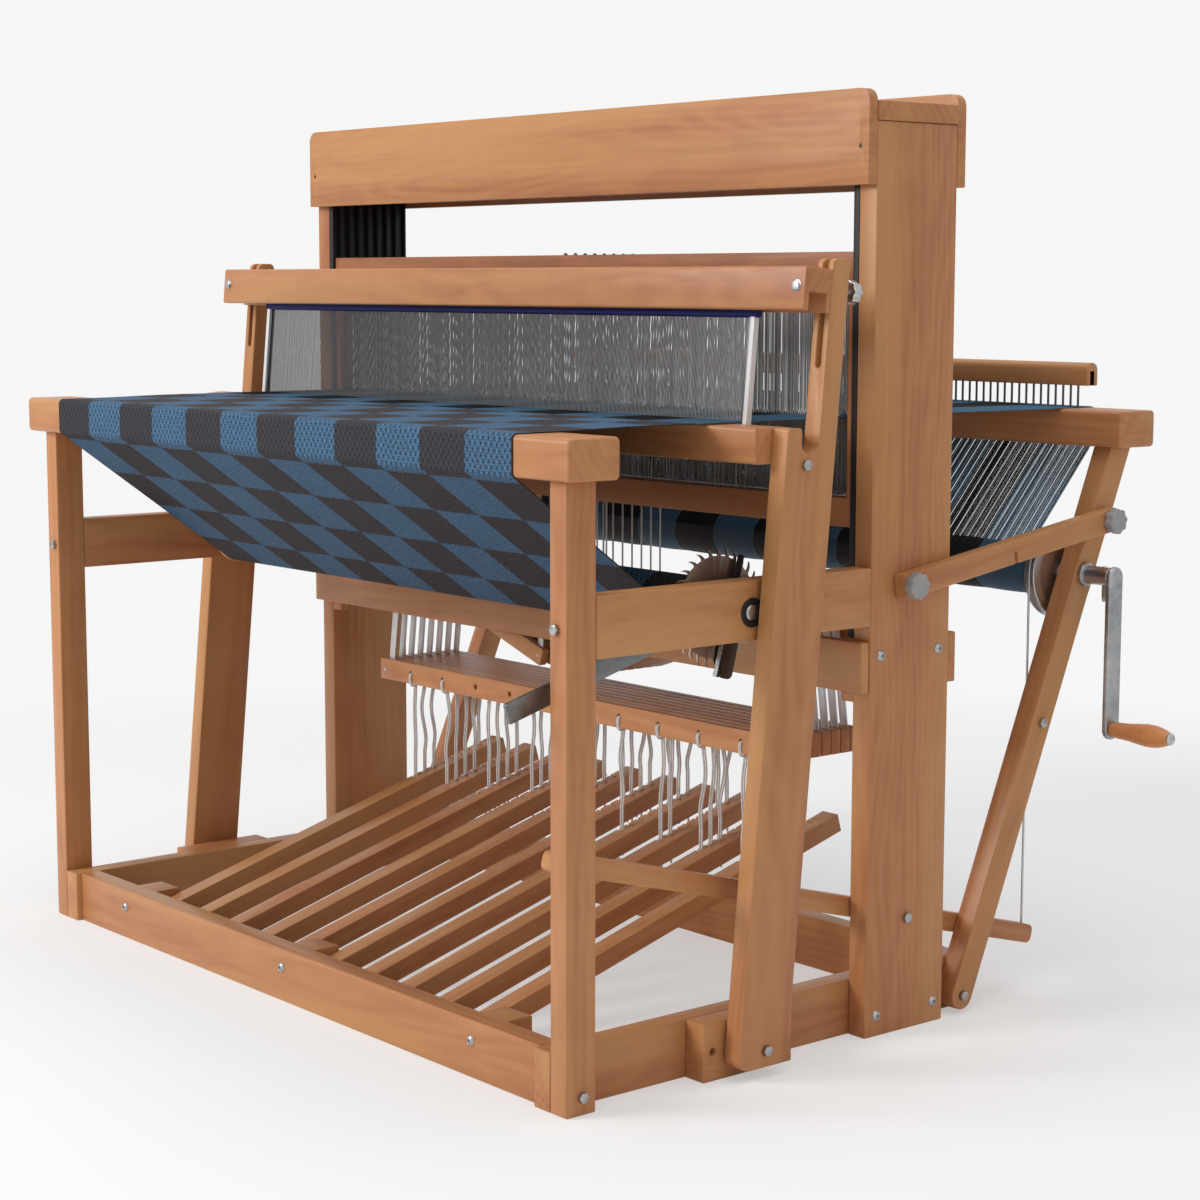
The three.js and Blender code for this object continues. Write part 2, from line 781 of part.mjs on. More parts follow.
// Cloth beam: axle, cloth roll, hubs and the saw-tooth ratchet wheel
function ratchetWheel(xSpan) {
  const shape = new THREE.Shape();
  for (let tooth = 0; tooth < ratchetTeeth; tooth += 1) {
    const angle = tooth * 2 * Math.PI / ratchetTeeth;
    const tip = [ratchetRadius * Math.cos(angle), ratchetRadius * Math.sin(angle)];
    const root = ratchetRadius - ratchetDepth;
    if (tooth === 0) {
      shape.moveTo(...tip);
    } else {
      shape.lineTo(...tip);
    }
    shape.lineTo(root * Math.cos(angle), root * Math.sin(angle));
  }
  return sideProfile(shape, xSpan).translate(0, clothAxleY, clothAxleZ);
}

const ratchetInner = clothHalfWidth + hubThick + ratchetGap;
const ratchetOuter = ratchetInner + ratchetThick;
const pawlInner = ratchetOuter + ratchetGap;
const leverInner = pawlInner + pawlThick + slack;

function addClothBeam() {
  const roll = turned([
    [-halfOuter, 0], [-halfOuter, clothAxleRadius],
    [-clothHalfWidth - hubThick, clothAxleRadius], [-clothHalfWidth - hubThick, hubRadius],
    [-clothHalfWidth - seat, hubRadius], [-clothHalfWidth - seat, clothRollRadius],
    [clothHalfWidth + seat, clothRollRadius], [clothHalfWidth + seat, hubRadius],
    [ratchetInner + embed, hubRadius], [ratchetInner + embed, clothAxleRadius],
    [halfOuter, clothAxleRadius], [halfOuter, 0],
  ], clothAxleY, clothAxleZ);
  add('cloth_beam', join(roll, ratchetWheel([ratchetInner, ratchetOuter])), cloth);

  const arm = outline([
    [-half(pawlWidth), -pawlDrop], [half(pawlWidth), -pawlDrop],
    [half(pawlWidth), 0, pawlRound], [half(pawlTipWidth), pawlRise], [-half(pawlTipWidth), pawlRise],
    [-half(pawlWidth), 0, pawlRound],
  ]);
  roundHole(arm, clothAxleRadius + slack, 0, 0, roundSides);
  const armMiddle = pawlInner + half(pawlThick);
  const channel = block(
    [armMiddle - half(pawlChannel), armMiddle + half(pawlChannel)],
    [-pawlWidth, half(pawlWidth) - pawlChannel],
    [-pawlDrop - overrun, -pawlChannelDrop],
  );
  const armBody = cut(sideProfile(arm, [pawlInner, pawlInner + pawlThick]), channel);
  const pawl = add('holding_pawl', armBody, steel);
  pawl.rotation.x = -radians(pawlTilt);
  pawl.position.set(0, clothAxleY, clothAxleZ);

  const leverSpan = [leverInner, leverInner + leverThick];
  const plate = new THREE.Shape();
  plate.absarc(0, 0, leverHub, 0, 2 * Math.PI, false);
  roundHole(plate, clothAxleRadius + slack, 0, 0, roundSides);
  const bar = block(leverSpan, [-leverReach, -leverStart], both(half(leverHeight)));
  const pushPawl = block(
    [ratchetInner, leverInner + embed],
    [-ratchetRadius - pushPawlReach, -ratchetRadius - ratchetGap],
    both(half(pushPawlWidth)),
  );
  const lever = add('advance_lever', join(sideProfile(plate, leverSpan), bar, pushPawl), steel);
  lever.rotation.x = radians(leverTilt);
  lever.position.set(0, clothAxleY, clothAxleZ);
}

// Back frame: two legs, and the back beam with its raddle
const backBeamFront = backLegAt(beamTop) - backBeamAhead;
const backBeamBack = backBeamFront + backBeamDepth;
const raddleY = half(backBeamFront + backBeamBack);
const raddleCapBottom = beamTop + raddleRise;

function addBackFrame() {
  const lean = radians(backLean);
  const halfAcross = half(backLegWidth) / Math.cos(lean);
  const shape = new THREE.Shape();
  shape.absarc(foldPivotY, foldPivotHeight, half(backLegWidth), Math.PI - lean, 2 * Math.PI - lean, false);
  shape.lineTo(backLegAt(legTop) + halfAcross, legTop);
  shape.lineTo(backLegAt(legTop) - halfAcross, legTop);
  roundHole(shape, pivotRadius + slack, foldPivotY, foldPivotHeight);
  roundHole(shape, warpAxleRadius + slack, warpAxleY, warpAxleHeight);
  for (const [name, side] of sides) {
    add(`back_leg_${name}`, sideProfile(shape, span(side, halfInner, halfOuter)), wood);
  }

  const beam = sideProfile(outline([
    [backBeamFront, beamBottom, beamRound], [backBeamBack, beamBottom, beamRound],
    [backBeamBack, beamTop, beamRound], [backBeamFront, beamTop, beamRound],
  ]), both(halfOuter + beamReach));
  const capFront = raddleY - half(raddleCapDepth);
  const capBack = raddleY + half(raddleCapDepth);
  const capTop = raddleCapBottom + raddleCapThick;
  const cap = sideProfile(outline([
    [capFront, raddleCapBottom], [capBack, raddleCapBottom],
    [capBack, capTop, raddleCapRound], [capFront, capTop, raddleCapRound],
  ]), both(halfInner - raddleMargin));
  const pins = Array.from({ length: heddleCount }, (_, pin) => block(
    [heddleX(pin) - half(raddlePin), heddleX(pin) + half(raddlePin)],
    [raddleY - half(raddlePin), raddleY + half(raddlePin)],
    [beamTop - embed, raddleCapBottom + embed],
  ));
  add('back_beam', join(beam, cap, ...pins), wood);
}

// Warp beam: axle, warp roll with a hub at each end, brake drum and collar
const drumOuter = halfInner - drumGap;
const drumInner = drumOuter - drumThick;

function addWarpBeam() {
  const hubIn = warpHalfWidth + seat;
  const hubOut = hubIn + rollHubThick;
  const grooveFloor = drumRadius - drumGroove;
  const socketStart = halfOuter + seat + collarThick;
  const axleEnd = socketStart + socketLength - crankBlind;
  add('warp_beam', turned([
    [-halfOuter - drumRim, 0], [-halfOuter - drumRim, warpAxleRadius],
    [-hubOut, warpAxleRadius], [-hubOut, rollHubRadius],
    [-hubIn, rollHubRadius], [-hubIn, warpRollRadius],
    [hubIn, warpRollRadius], [hubIn, rollHubRadius],
    [hubOut, rollHubRadius], [hubOut, warpAxleRadius],
    [drumInner, warpAxleRadius], [drumInner, drumRadius], [drumInner + drumRim, drumRadius],
    [drumInner + drumRim + drumSlope, grooveFloor], [drumOuter - drumRim - drumSlope, grooveFloor],
    [drumOuter - drumRim, drumRadius], [drumOuter, drumRadius], [drumOuter, warpAxleRadius],
    [halfOuter + seat, warpAxleRadius], [halfOuter + seat, collarRadius],
    [socketStart - seat, collarRadius], [socketStart - seat, warpAxleRadius],
    [axleEnd - seat, warpAxleRadius], [axleEnd - seat, 0],
  ], warpAxleY, warpAxleHeight), darkWood);

  const socketEnd = socketStart + socketLength;
  const bore = warpAxleRadius + slack;
  const socket = turned([
    [socketStart, bore], [socketStart, socketRadius], [socketEnd, socketRadius],
    [socketEnd, 0], [axleEnd, 0], [axleEnd, bore], [socketStart, bore],
  ], warpAxleY, warpAxleHeight);
  const pinX = half(socketStart + socketEnd) + crossPinRadius;
  const pinBore = bore + half(socketRadius - bore);
  const upperSpan = [warpAxleHeight + pinBore, warpAxleHeight + crossPinUp];
  const lowerSpan = [warpAxleHeight - crossPinDown, warpAxleHeight - pinBore];
  const pinUp = rodZ(crossPinRadius, pinX, warpAxleY, upperSpan);
  const pinDown = rodZ(crossPinRadius, pinX, warpAxleY, lowerSpan);
  const arm = sideProfile(barOutline(crankWidth, crankReach), [axleEnd + embed, axleEnd + crankThick]);
  arm.rotateX(-quarter).translate(0, warpAxleY, warpAxleHeight);
  const handleZ = warpAxleHeight - crankReach;
  const handleStart = axleEnd + crankThick + seat;
  const handleEnd = handleStart + handleLength;
  const pin = turned([
    [axleEnd + crankThick - embed, 0], [axleEnd + crankThick - embed, handlePinRadius],
    [handleEnd + seat, handlePinRadius], [handleEnd + seat, handleNeckRadius],
    [handleEnd + seat + handleCapThick, half(handleNeckRadius)], [handleEnd + seat + handleCapThick, 0],
  ], warpAxleY, handleZ);
  add('crank', join(socket, pinUp, pinDown, arm, pin), steel);

  const handleBore = handlePinRadius + slack;
  const grip = handleShares.map(([along, radius]) => [
    handleStart + handleLength * along, handleRadius * radius,
  ]);
  const handleEnds = [[handleEnd, handleBore], [handleStart, handleBore]];
  const handle = turned([[handleStart, handleBore], ...grip, ...handleEnds], warpAxleY, handleZ);
  add('crank_handle', handle, wood);
}

// Braces from the castle to the back legs, each with two star knobs and a locking notch
function addBraces() {
  const front = new THREE.Vector2(castleFront + braceFrontAhead, upperRailBottom + braceFrontRise);
  const rearHeight = beamTop - braceRearDrop;
  const rear = new THREE.Vector2(backLegAt(rearHeight), rearHeight);
  const rise = rear.clone().sub(front);
  const length = rise.length();
  const inner = halfOuter + seat;
  const outer = inner + braceThick;
  for (const [name, side] of sides) {
    const bar = sideProfile(barOutline(braceWidth, length), span(side, inner, outer));
    const notch = block(
      span(side, inner - overrun, outer + overrun),
      [braceNotchAt - half(braceNotchWidth), braceNotchAt + half(braceNotchWidth)],
      [-braceWidth, -half(braceWidth) + braceNotchDepth],
    );
    const knobs = [0, length].map(along => sideProfile(
      star(knobRadius), span(side, outer - embed, outer + knobThick),
    ).translate(0, along, 0));
    const brace = add(`brace_${name}`, join(cut(bar, notch), ...knobs), wood);
    brace.rotation.x = rise.angle();
    brace.position.set(0, front.x, front.y);
  }
}

// Brake pedal, and the cable that goes round the drum and down to it
function addBrake() {
  const pivotBehindFront = castleBack - pedalPivotAhead;
  const shape = outline([
    [-pedalAhead, -half(pedalHeight), beamRound], [pedalBehind, -half(pedalHeight), beamRound],
    [pedalBehind, half(pedalHeight), beamRound], [-pedalAhead, half(pedalHeight), beamRound],
  ]);
  roundHole(shape, pedalPinRadius + slack);
  const pedalOuter = halfInner - pedalGap;
  const pedal = add('brake_pedal', sideProfile(shape, [pedalOuter - pedalThick, pedalOuter]), wood);
  pedal.rotation.x = -radians(pedalTilt);
  pedal.position.set(0, pivotBehindFront, pedalPivotHeight);

  const turnRadius = drumRadius - drumGroove + seat + cableRadius;
  const dropY = warpAxleY - turnRadius;
  const tilt = Math.tan(radians(pedalTilt));
  const pedalTopAt = y => pedalPivotHeight - tilt * (y - pivotBehindFront)
    + half(pedalHeight) / Math.cos(radians(pedalTilt));
  const dropEnd = pedalTopAt(dropY) + seat + cableRadius * tilt;
  const cableX = half(drumInner + drumOuter);
  const around = angle => new THREE.Vector3(
    cableX, warpAxleY + turnRadius * Math.cos(angle), warpAxleHeight + turnRadius * Math.sin(angle),
  );
  const places = [];
  for (let step = 0; step < cableDropSteps; step += 1) {
    const height = dropEnd + (warpAxleHeight - dropEnd) * step / cableDropSteps;
    places.push(new THREE.Vector3(cableX, dropY, height));
  }
  for (let step = 0; step <= cableTurnSteps; step += 1) {
    places.push(around(Math.PI - radians(cableTurn) * step / cableTurnSteps));
  }
  add('brake_cable', cableTube(places), steel);
}

// Tube of flat sides through a list of places
function cableTube(places) {
  const section = new THREE.Shape();
  for (let side = 0; side < cableSides; side += 1) {
    const angle = side * 2 * Math.PI / cableSides;
    const place = [cableRadius * Math.cos(angle), cableRadius * Math.sin(angle)];
    if (side === 0) {
      section.moveTo(...place);
    } else {
      section.lineTo(...place);
    }
  }
  return new THREE.ExtrudeGeometry(section, {
    steps: places.length - 1,
    extrudePath: new THREE.CatmullRomCurve3(places, false, 'centripetal'),
    bevelEnabled: false,
  });
}

// Where a line from a place touches a circle, on the chosen side
function touch([y, z], [centreY, centreZ], radius, side) {
  const toward = new THREE.Vector2(y - centreY, z - centreZ);
  const angle = toward.angle() + side * Math.acos(radius / toward.length());
  return [centreY + radius * Math.cos(angle), centreZ + radius * Math.sin(angle)];
}

// Strip of cloth on the left of a route in Y and Z
function strip(route) {
  const far = route.map(([y, z], index) => {
    const before = route[Math.max(index - 1, 0)];
    const after = route[Math.min(index + 1, route.length - 1)];
    const along = new THREE.Vector2(after[0] - before[0], after[1] - before[1]).normalize();
    return [y - along.y * webThick, z + along.x * webThick];
  });
  return outline([...route, ...far.reverse()]);
}

// Round corner of a beam as places a seat's width off it, from its upright face to its level face
function beamCorner(y, z, outY, outZ) {
  const steps = 2 * cornerSteps;
  return Array.from({ length: steps + 1 }, (_, index) => {
    const angle = quarter * index / steps;
    const reach = beamRound + seat;
    return [
      y - outY * (beamRound - reach * Math.cos(angle)),
      z - outZ * (beamRound - reach * Math.sin(angle)),
    ];
  });
}

// Cloth from its roll round the breast beam to the reed, and warp on to the warp roll
function addWeb() {
  const clothCentre = [clothAxleY, clothAxleZ];
  const warpCentre = [warpAxleY, warpAxleHeight];
  const front = -beamOverhang;
  const frontLow = beamCorner(front, beamBottom, -1, -1);
  const frontTop = beamCorner(front, beamTop, -1, 1);
  const backTop = beamCorner(backBeamBack, beamTop, 1, 1).reverse();
  const backLow = beamCorner(backBeamBack, beamBottom, 1, -1);
  const clothStart = touch(frontLow[cornerSteps], clothCentre, clothRollRadius + seat, 1);
  const warpEnd = touch(backLow[cornerSteps], warpCentre, warpRollRadius + seat + webThick, 1);
  const changeOver = reedAt(beamTop);
  const raised = beamTop + webRise;
  const clothRoute = [
    clothStart, ...frontLow.slice(0, cornerSteps + 1).reverse(), ...frontTop,
    [front + beamDepth, beamTop + seat],
    [webRiseAt, raised], [changeOver, raised],
  ];
  const warpRoute = [
    [changeOver - embed, raised], [castleBack + overrun, raised], [backBeamFront, beamTop + seat],
    ...backTop, ...backLow.slice(0, cornerSteps + 1), warpEnd,
  ];
  const web = join(
    sideProfile(strip(clothRoute), both(clothHalfWidth)),
    sideProfile(strip(warpRoute), both(warpHalfWidth)),
  );
  const slits = Array.from({ length: heddleCount }, (_, index) => {
    const width = [heddleX(index) - half(slitWidth), heddleX(index) + half(slitWidth)];
    return [
      block(width, [castleFront, castleBack], [raised - overrun, raised + overrun]),
      block(width, [raddleY - slitWidth, raddleY + slitWidth], [beamTop, beamTop + overrun]),
    ];
  }).flat();
  add('woven_web', cut(web, ...slits), cloth);
}

addSideFrames();
addBreastBeam();
addCastle();
addShafts();
addLamms();
addTreadles();
addBeater();
addClothBeam();
addBackFrame();
addWarpBeam();
addBraces();
addBrake();
addWeb();

// Origin under the middle of the loom, on the floor
loom.updateMatrixWorld(true);
const bounds = new THREE.Box3().setFromObject(loom, true);
const middle = bounds.getCenter(new THREE.Vector3());
loom.position.set(-middle.x, -middle.y, -bounds.min.z);

export default loom;
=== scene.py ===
# %% [markdown]
# # A floor loom, part woven
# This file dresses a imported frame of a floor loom. Every solid of the frame already has its place and its
# joints, so the work here is looks: rounded boards with grain that follows each board, steel fittings,
# heddles, threads, cords and cloth. Each cell makes one thing and says how many pieces it made.

# %% Load the frame
import math
import random
from functools import partial

import bmesh
import bpy
from mathutils import Matrix, Vector


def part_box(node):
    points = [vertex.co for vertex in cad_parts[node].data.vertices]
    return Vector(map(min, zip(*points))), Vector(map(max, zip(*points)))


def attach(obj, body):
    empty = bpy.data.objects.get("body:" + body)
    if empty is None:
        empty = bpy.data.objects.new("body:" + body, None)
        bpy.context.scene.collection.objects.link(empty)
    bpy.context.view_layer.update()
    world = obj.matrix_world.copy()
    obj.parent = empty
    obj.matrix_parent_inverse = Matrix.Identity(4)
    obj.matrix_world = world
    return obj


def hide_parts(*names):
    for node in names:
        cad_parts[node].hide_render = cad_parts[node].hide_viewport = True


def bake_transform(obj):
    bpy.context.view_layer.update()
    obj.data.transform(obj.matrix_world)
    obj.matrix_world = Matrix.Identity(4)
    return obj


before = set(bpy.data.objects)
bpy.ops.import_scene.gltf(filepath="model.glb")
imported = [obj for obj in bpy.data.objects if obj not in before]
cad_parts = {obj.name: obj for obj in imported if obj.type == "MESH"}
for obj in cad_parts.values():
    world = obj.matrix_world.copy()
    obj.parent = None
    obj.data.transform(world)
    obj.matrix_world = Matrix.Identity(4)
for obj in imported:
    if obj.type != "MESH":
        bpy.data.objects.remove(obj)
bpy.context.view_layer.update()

# %% [markdown]
# ## One ruler for the whole loom
# A loom maker measures from the front of the posts and from the middle of the loom, in millimetres. The
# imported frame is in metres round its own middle. Reading the shift from two posts keeps both rulers together:
# if the frame is packed again with a longer back, nothing here has to change.

# %% A place in metres from millimetres on the loom
HALF_WIDTH = 590.0
MIDDLE_X = HALF_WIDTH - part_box("front_post_right")[1].x * 1000
MIDDLE_Y = -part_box("front_post_left")[0].y * 1000


def at(x, y, z):
    return Vector(((x - MIDDLE_X) / 1000, (y - MIDDLE_Y) / 1000, z / 1000))


def size(length):
    return length / 1000


print("shift", round(MIDDLE_X, 2), round(MIDDLE_Y, 2))

# %% [markdown]
# ## The camera
# The photograph was taken from the weaver's right, at about the height of the castle, with a long lens.
# Straight edges of the loom give where the camera stood and how it was turned, so it goes there and needs no
# shift.

# %% Camera
CAMERA_PLACE = (2658.88, -1668.91, 911.85)
CAMERA_YAW = math.radians(50.33)
CAMERA_PITCH = math.radians(7.20)
CAMERA_ROLL = math.radians(0.08)
CAMERA_LENS = 75.12

camera_data = bpy.data.cameras.new("camera")
camera_data.lens = CAMERA_LENS
camera_data.sensor_width = 36
camera = bpy.data.objects.new("camera", camera_data)
bpy.context.scene.collection.objects.link(camera)
level = math.cos(CAMERA_PITCH)
looking = Vector((-math.sin(CAMERA_YAW) * level, math.cos(CAMERA_YAW) * level, -math.sin(CAMERA_PITCH)))
facing = looking.to_track_quat("-Z", "Y").to_matrix() @ Matrix.Rotation(CAMERA_ROLL, 3, "Z")
camera.matrix_world = Matrix.Translation(at(*CAMERA_PLACE)) @ facing.to_4x4()
bpy.context.scene.camera = camera
print("camera at", [round(c, 3) for c in camera.location])

# %% [markdown]
# ## Sums on sockets
# A node tree is hard to read as a list of links. Two small classes let it be written as sums instead: a wire
# is one output, and arithmetic on wires adds Math nodes. Every other node comes from one method.

# %% Wires and graphs
class Wire:
    """A node's output. Arithmetic on it adds Math nodes to the same tree."""

    def __init__(self, graph, socket):
        self.graph = graph
        self.socket = socket

    def maths(self, operation, *others):
        return self.graph.maths(operation, self, *others)

    def wave(self):
        """Sine, brought to 0 to 1."""
        return self.maths("SINE") * 0.5 + 0.5

    def __add__(self, other):
        return self.maths("ADD", other)

    def __sub__(self, other):
        return self.maths("SUBTRACT", other)

    def __mul__(self, other):
        return self.maths("MULTIPLY", other)

    def __truediv__(self, other):
        return self.maths("DIVIDE", other)


class Graph:
    """A node tree, and the one method that adds nodes to it."""

    def __init__(self, tree):
        self.tree = tree
        tree.nodes.clear()

    def node(self, kind, settings=(), inputs=(), output=0):
        new = self.tree.nodes.new(kind)
        for key, value in dict(settings).items():
            if key == "stops":
                ramp = new.color_ramp
                while len(ramp.elements) < len(value):
                    ramp.elements.new(1)
                for stop, (spot, colour) in zip(ramp.elements, value):
                    stop.position = spot
                    stop.color = (*colour, 1)
            else:
                setattr(new, key, value)
        for key, value in dict(inputs).items():
            if isinstance(value, Wire):
                self.tree.links.new(value.socket, new.inputs[key])
            else:
                new.inputs[key].default_value = value
        return Wire(self, new.outputs[output]) if len(new.outputs) else new

    def maths(self, operation, *values):
        return self.node("ShaderNodeMath", {"operation": operation}, dict(enumerate(values)))

    def vector_maths(self, operation, *values, output=0):
        return self.node("ShaderNodeVectorMath", {"operation": operation}, dict(enumerate(values)), output)


print("wires ready")

# %% [markdown]
# ## Light
# The loom stood in a white studio: a large soft light in front and to the left makes the boards' front faces
# the brightest, a weaker one on the right opens the sides, and the room itself fills the rest. All of it
# together stays at a plain level, so that a colour renders about as it is written.

# %% World and lamps
BACKGROUND = 0.925
ROOM_LIGHT = 0.43
MIRROR_SHARE = 0.6
LAMPS = {
    "key": {"place": (-1500, -3300, 2500), "size": 1.7, "power": 104, "colour": (1.0, 0.985, 0.965)},
    "side": {"place": (3900, 300, 2100), "size": 2.4, "power": 9, "colour": (1.0, 0.98, 0.95)},
    "top": {"place": (200, 500, 3900), "size": 3.0, "power": 54, "colour": (1.0, 1.0, 1.0)},
}
TARGET = at(0, 400, 550)

bpy.context.scene.view_settings.view_transform = "Standard"
world = bpy.data.worlds.new("studio")
bpy.context.scene.world = world
world.use_nodes = True
studio = Graph(world.node_tree)
seen, mirrored, passed = [studio.node("ShaderNodeLightPath", output=f"Is {kind} Ray")
                          for kind in ("Camera", "Glossy", "Transmission")]
shown = seen.maths("MAXIMUM", (mirrored * MIRROR_SHARE).maths("MAXIMUM", passed))
strength = shown * (BACKGROUND - ROOM_LIGHT) + ROOM_LIGHT
room = studio.node("ShaderNodeBackground", (), {"Color": (1, 1, 1, 1), "Strength": strength})
studio.node("ShaderNodeOutputWorld", (), {"Surface": room})

for name, lamp in LAMPS.items():
    light = bpy.data.lights.new(name, "AREA")
    light.shape = "SQUARE"
    light.size = lamp["size"]
    light.energy = lamp["power"]
    light.color = lamp["colour"]
    stand = bpy.data.objects.new(name, light)
    stand.location = at(*lamp["place"])
    stand.rotation_euler = (TARGET - stand.location).to_track_quat("-Z", "Y").to_euler()
    bpy.context.scene.collection.objects.link(stand)
print("lamps", len(LAMPS))

# %% [markdown]
# ## Floor
# A white sheet of floor runs up to the horizon. Near the loom it is a plain matt surface that takes the
# shadow. Further away it fades to the same white as the room, so that no horizon shows.

# %% Floor
FLOOR_REACH = 40.0
FLOOR_WHITE = (1.0, 1.0, 1.0, 1)
FADE_FROM = 0.9
FADE_OVER = 1.5
FLOOR_GLOW = 0.43

floor_mesh = bpy.data.meshes.new("floor")
corners = [(x * FLOOR_REACH, y * FLOOR_REACH, 0) for x, y in ((-1, -1), (1, -1), (1, 1), (-1, 1))]
floor_mesh.from_pydata(corners, [], [(0, 1, 2, 3)])
floor = bpy.data.objects.new("floor", floor_mesh)
bpy.context.scene.collection.objects.link(floor)
floor_finish = bpy.data.materials.new("floor_white")
floor_finish.use_nodes = True
g = Graph(floor_finish.node_tree)
spot = g.node("ShaderNodeTexCoord", output="Object")
away = g.vector_maths("LENGTH", g.vector_maths("MULTIPLY", spot, (1, 1, 0)), output="Value")
fade = g.node("ShaderNodeClamp", (), {"Value": (away - FADE_FROM) / FADE_OVER})
matt = g.node("ShaderNodeBsdfDiffuse", (), {"Color": FLOOR_WHITE})
glow = g.node("ShaderNodeEmission", (), {"Color": (1, 1, 1, 1), "Strength": BACKGROUND})
sight = g.node("ShaderNodeLightPath", output="Is Camera Ray")
cover = g.node("ShaderNodeMixShader", (), {0: fade.maths("MAXIMUM", FLOOR_GLOW) * sight, 1: matt, 2: glow})
g.node("ShaderNodeOutputMaterial", (), {"Surface": cover})
floor_mesh.materials.append(floor_finish)
print("floor", FLOOR_REACH * 2, "m across")

# %% [markdown]
# ## Finishes
# Every finish is a Principled shader whose colour, roughness and bump change a little over the piece, since
# that is what makes a thing look made and handled. The helpers below are the few nodes that all finishes
# share.

# %% Helpers for finishes
def surface(name):
    """A new material and its graph."""
    material = bpy.data.materials.new(name)
    material.use_nodes = True
    return material, Graph(material.node_tree)


def finish(material, graph, inputs):
    shader = graph.node("ShaderNodeBsdfPrincipled", (), inputs)
    graph.node("ShaderNodeOutputMaterial", (), {"Surface": shader})
    return material


def object_place(graph):
    return graph.node("ShaderNodeTexCoord", output="Object")


def carried(graph, name, output="Vector"):
    """The attribute that a piece carries on its points."""
    return graph.node("ShaderNodeAttribute", {"attribute_name": name}, output=output)


def parts_of(graph, vector, *axes):
    return [graph.node("ShaderNodeSeparateXYZ", (), {0: vector}, output=axis) for axis in axes]


def noise(graph, vector, scale, detail=2.0, rough=0.5, output=0):
    inputs = {"Vector": vector, "Scale": scale, "Detail": detail, "Roughness": rough}
    return graph.node("ShaderNodeTexNoise", {"noise_dimensions": "3D"}, inputs, output)


def drawn_noise(graph, vector, scale, detail=2.0, rough=0.5):
    """Noise drawn out along an axis, with its own scale for each axis."""
    mapped = graph.node("ShaderNodeMapping", (), {"Vector": vector, "Scale": scale})
    return noise(graph, mapped, 1.0, detail, rough)


def bumped(graph, height, strength, distance):
    return graph.node("ShaderNodeBump", (), {"Height": height, "Strength": strength, "Distance": distance})


def blended(graph, factor, first, second):
    """Mix of two colours, either of which can be a wire."""
    ends = [value if isinstance(value, Wire) else (*value, 1) for value in (first, second)]
    return graph.node("ShaderNodeMix", {"data_type": "RGBA"}, {0: factor, 6: ends[0], 7: ends[1]}, output=2)


def ranged(graph, value, low, high):
    """0 below low, 1 above high, straight between."""
    return graph.node("ShaderNodeMapRange", (), {"Value": value, "From Min": low, "From Max": high})


def scaled(colour, share):
    return [part * share for part in colour]


print("helpers for finishes ready")

# %% [markdown]
# Wood first. A board's grain runs along the board even where the board leans, so each wooden piece carries a
# vector called grain on its points: how far along the board, across it and through it. The year rings are
# circles round a heart that lies somewhere beside the board. Layers of noise drawn out along the board give
# fibres, streaks and slow changes of tone, and the sine of one smooth layer gives the curved figure of a
# flat-sawn board.

# %% Wood
WOOD_GOLD = (0.56, 0.285, 0.108)
WOOD_PALE = (0.57, 0.265, 0.112)
WOOD_MIDDLE = (0.49, 0.208, 0.084)
WOOD_DEEP = (0.385, 0.142, 0.062)
WOOD_SHEEN = 0.40
WOOD_COAT = {"Coat Weight": 0.08, "Coat Roughness": 0.25, "Specular IOR Level": 0.32}
RING_SPACING = 0.012
HEART_WANDER = 0.05
RING_WANDER = 6
FLAME_LINES = 52
FLAME_SHARE = 0.20
TONE_LEVEL = 0.515
GOLD_SHARE = 0.75
PORE_LEVEL = 0.66
PORE_SHARE = 0.24
# A layer is its scale along the board and across it, its detail, its roughness and its share of the tone.
LAYERS = {
    "fibre": (7, 320, 3.0, 0.6, 0.18), "streak": (1.2, 42, 2.0, 0.5, 0.30), "tone": (0.45, 1.5, 1.0, 0.5, 0.50),
    "figure": (38, 9, 2.0, 0.5, 0.24), "band": (0.8, 22, 2.0, 0.4, 0.66),
}


def wood(name, pale, middle, deep, ring_share=0.16, roughness=WOOD_SHEEN):
    material, g = surface(name)
    grain = carried(g, "grain")

    def layer(along, through, detail=2.0, rough=0.5):
        return drawn_noise(g, grain, (along, through, through), detail, rough)

    drift = layer(2.6, 11, 3.0)
    heart = [part + (drift - 0.5) * HEART_WANDER for part in parts_of(g, grain, 1, 2)]
    reach = (heart[0] * heart[0] + heart[1] * heart[1]).maths("SQRT")
    ring = (reach * (2 * math.pi / RING_SPACING) + drift * RING_WANDER).wave()
    layers = {key: layer(*values[:4]) for key, values in LAYERS.items()}
    fibre = layers["fibre"]
    flame = (layer(2.2, 13, 1.2) * FLAME_LINES + fibre * 0.8).wave()
    mix = ring * ring_share + flame * FLAME_SHARE - (ring_share / 2 + TONE_LEVEL)
    for key, values in LAYERS.items():
        mix = mix + layers[key] * values[4]
    colour = g.node("ShaderNodeValToRGB", {"stops": [(0.12, pale), (0.5, middle), (0.92, deep)]}, {"Fac": mix})
    gold = ranged(g, layer(0.9, 16, 2.0, 0.4), 0.44, 0.66)
    colour = blended(g, gold * GOLD_SHARE, colour, WOOD_GOLD if pale == WOOD_PALE else WOOD_MIDDLE)
    pore = layer(26, 900, 1.0).maths("GREATER_THAN", PORE_LEVEL)
    return finish(material, g, {
        **WOOD_COAT,
        "Base Color": blended(g, pore * PORE_SHARE, colour, deep),
        "Roughness": fibre * 0.12 + layers["figure"] * 0.06 + (roughness - 0.10),
        "Normal": bumped(g, fibre * 0.5 + ring * 0.10 - pore * 0.5, 0.07, 0.0003),
    })


